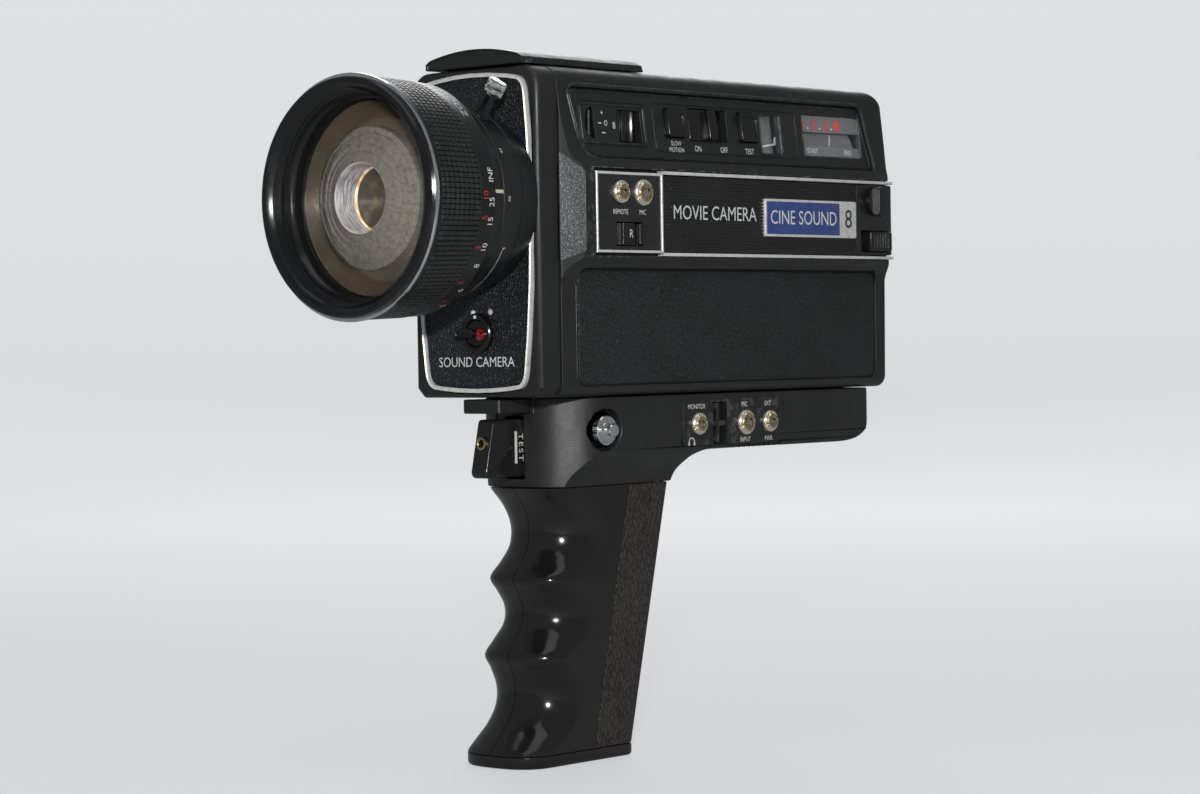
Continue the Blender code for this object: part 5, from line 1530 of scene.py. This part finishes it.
def lens_marks(prints):
    for words, angle in (("INF", 9.5), ("25", -3.5), ("15", -13), ("10", -26), ("8", -36),
        ("6", -52), ("5", -66)):
        prints.text(words, 3, lens_text(angle, -28.9, ring_radius), body="focus_group", width=1)
    for words, angle in (("10", -0.6), ("5", -11), ("3", -26), ("2", -46.5), ("1.5", -62)):
        prints.text(words, 3, lens_text(angle, -31.5, ring_radius), "paint_red", "focus_group", 1)
    prints.text("ZOOM LENS", 3.4, lens_text(62, -30, ring_radius), body="focus_group", width=1.15,
        spacing=1.2)
    bar(prints, lambda a, b: lens_text(2.2, -22.9, cone_radius)(b, a), 4.6, 1, "paint_cream")
    for words, angle in (("45", 26), ("30", -1.5), ("20", 52), ("12", 80)):
        prints.text(words, 1.9, lens_text(angle, -17.2, cone_radius), body="zoom_group", width=1)
    steps = 14
    for k in range(steps):
        start = -30.5 - 22 * k / steps
        bar(prints, lens_text(start - 0.8, -15.6, cone_radius), 1, 0.35, body="zoom_group")
    bar(prints, lens_text(-30, -15.2, cone_radius), 0.35, 1.4, body="zoom_group")
    prints.text("MACRO", 1.8, lens_text(-60, -15.6, cone_radius), body="zoom_group", width=1)


def marks():
    prints = Prints()
    panel_marks(prints)
    band_marks(prints)
    chassis_marks(prints)
    front_marks(prints)
    lens_marks(prints)
    prints.finish()


# ---------------------------------------------------------------- picture


def scene_camera():
    azimuth = math.radians(VIEW_AZIMUTH)
    pitch = math.radians(VIEW_PITCH)
    forward = Vector((-math.sin(azimuth) * math.cos(pitch), math.cos(azimuth) * math.cos(pitch),
        -math.sin(pitch)))
    level = forward.cross(Vector((0, 0, 1))).normalized()
    above = level.cross(forward)
    roll = math.radians(VIEW_ROLL)
    right = level * math.cos(roll) + above * math.sin(roll)
    up = above * math.cos(roll) - level * math.sin(roll)
    data = bpy.data.cameras.new("view")
    data.lens = VIEW_LENS
    data.sensor_width = 36
    data.clip_start = 0.05
    camera = bpy.data.objects.new("view", data)
    bpy.context.scene.collection.objects.link(camera)
    place = Matrix((right, up, -forward)).transposed().to_4x4()
    place.translation = Vector(VIEW_FROM) * MM + DATUM
    camera.matrix_world = place
    bpy.context.scene.camera = camera
    return place.translation, right, up


def backdrop():
    """Pale round sweep: floor, curve and a wall all the way round, lit on its own."""
    look = Look("paper", (0.26, 0.262, 0.265), 1)
    look.set("Emission Color", (0.97, 0.985, 1, 1))
    look.tint(look.spread(look.noise(0.004, 3), 0.3, 0.7, 0, 0.3), (0.25, 0.252, 0.255))
    reach = look.node("ShaderNodeVectorMath", operation="LENGTH")
    look.link(look.place, reach.inputs[0])
    glow = look.spread(reach.outputs["Value"], 150, 3000, 0.50, 0.71)
    seen = look.node("ShaderNodeLightPath").outputs["Is Camera Ray"]
    share = look.spread(seen, 0, 1, 0.2, 1, False)
    look.link(look.math("MULTIPLY", glow, share), look.shader.inputs["Emission Strength"])
    radius, bend, wall = 2.6, 1.1, 3.4  # metres
    profile = [(0, 0), (0.5, 0), (radius - bend, 0)]
    for i in range(1, 17):
        angle = math.radians(90 * i / 16)
        profile.append((radius - bend + bend * math.sin(angle), bend * (1 - math.cos(angle))))
    profile.append((radius, wall))
    mesh = bmesh.new()
    points = [mesh.verts.new((along, 0, height)) for along, height in profile]
    lines = [mesh.edges.new(pair) for pair in zip(points, points[1:])]
    bmesh.ops.spin(mesh, geom=points + lines, cent=(0, 0, 0), axis=(0, 0, 1), angle=2 * math.pi, steps=96,
        use_duplicate=False)
    bmesh.ops.remove_doubles(mesh, verts=mesh.verts, dist=0.0001)
    bmesh.ops.recalc_face_normals(mesh, faces=mesh.faces)
    data = bpy.data.meshes.new("sweep")
    mesh.to_mesh(data)
    mesh.free()
    sweep = bpy.data.objects.new("sweep", data)
    bpy.context.scene.collection.objects.link(sweep)
    sweep.location.z = FLOOR_Z
    sweep.data.shade_smooth()
    sweep.data.materials.append(LOOKS["paper"])


def lamp(name, place, target, size, power, colour=(1, 1, 1)):
    data = bpy.data.lights.new(name, "AREA")
    data.shape = "RECTANGLE"
    data.size, data.size_y = size
    data.energy = power
    data.color = colour
    item = bpy.data.objects.new(name, data)
    bpy.context.scene.collection.objects.link(item)
    item.location = place
    way = Vector(target) - Vector(place)
    item.rotation_euler = way.to_track_quat("-Z", "Y").to_euler()
    item.visible_camera = False


def light(eye, right, up):
    """Dim surroundings, a broad lamp above, one behind the far side and a flash above the camera."""
    world = bpy.data.worlds.new("studio")
    world.use_nodes = True
    back = world.node_tree.nodes["Background"]
    back.inputs["Color"].default_value = (0.93, 0.96, 1, 1)
    back.inputs["Strength"].default_value = SURROUND_STRENGTH
    bpy.context.scene.world = world
    bpy.context.scene.view_settings.view_transform = "Standard"
    middle = Vector((0, 0.04, 0.13))
    lamp("flash", eye - right * 0.01 + up * 0.15, middle, (0.05, 0.04), FLASH_POWER)
    lamp("overhead", middle + Vector((0.15, -0.05, 1.2)), middle, (1.2, 1.2), OVERHEAD_POWER)
    lamp("far_side", middle + Vector((-0.85, 1.15, 0.75)), middle, (0.9, 0.9), FAR_SIDE_POWER)


def main():
    make_looks()
    left_shell()
    right_shell()
    rear_details()
    side_leather()
    film_door()
    control_wall()
    panel_controls()
    panel_glass()
    band()
    badge()
    band_controls()
    jacks()
    front_housing()
    front_plate()
    filter_knob()
    fairing()
    front_rim()
    focusing_ring()
    barrel()
    zooming_ring()
    lens_inside()
    lower_chassis()
    lock_button()
    trigger()
    grip_halves()
    grip_pad()
    grip_base()
    finder()
    inside()
    marks()
    eye, right, up = scene_camera()
    backdrop()
    light(eye, right, up)


main()
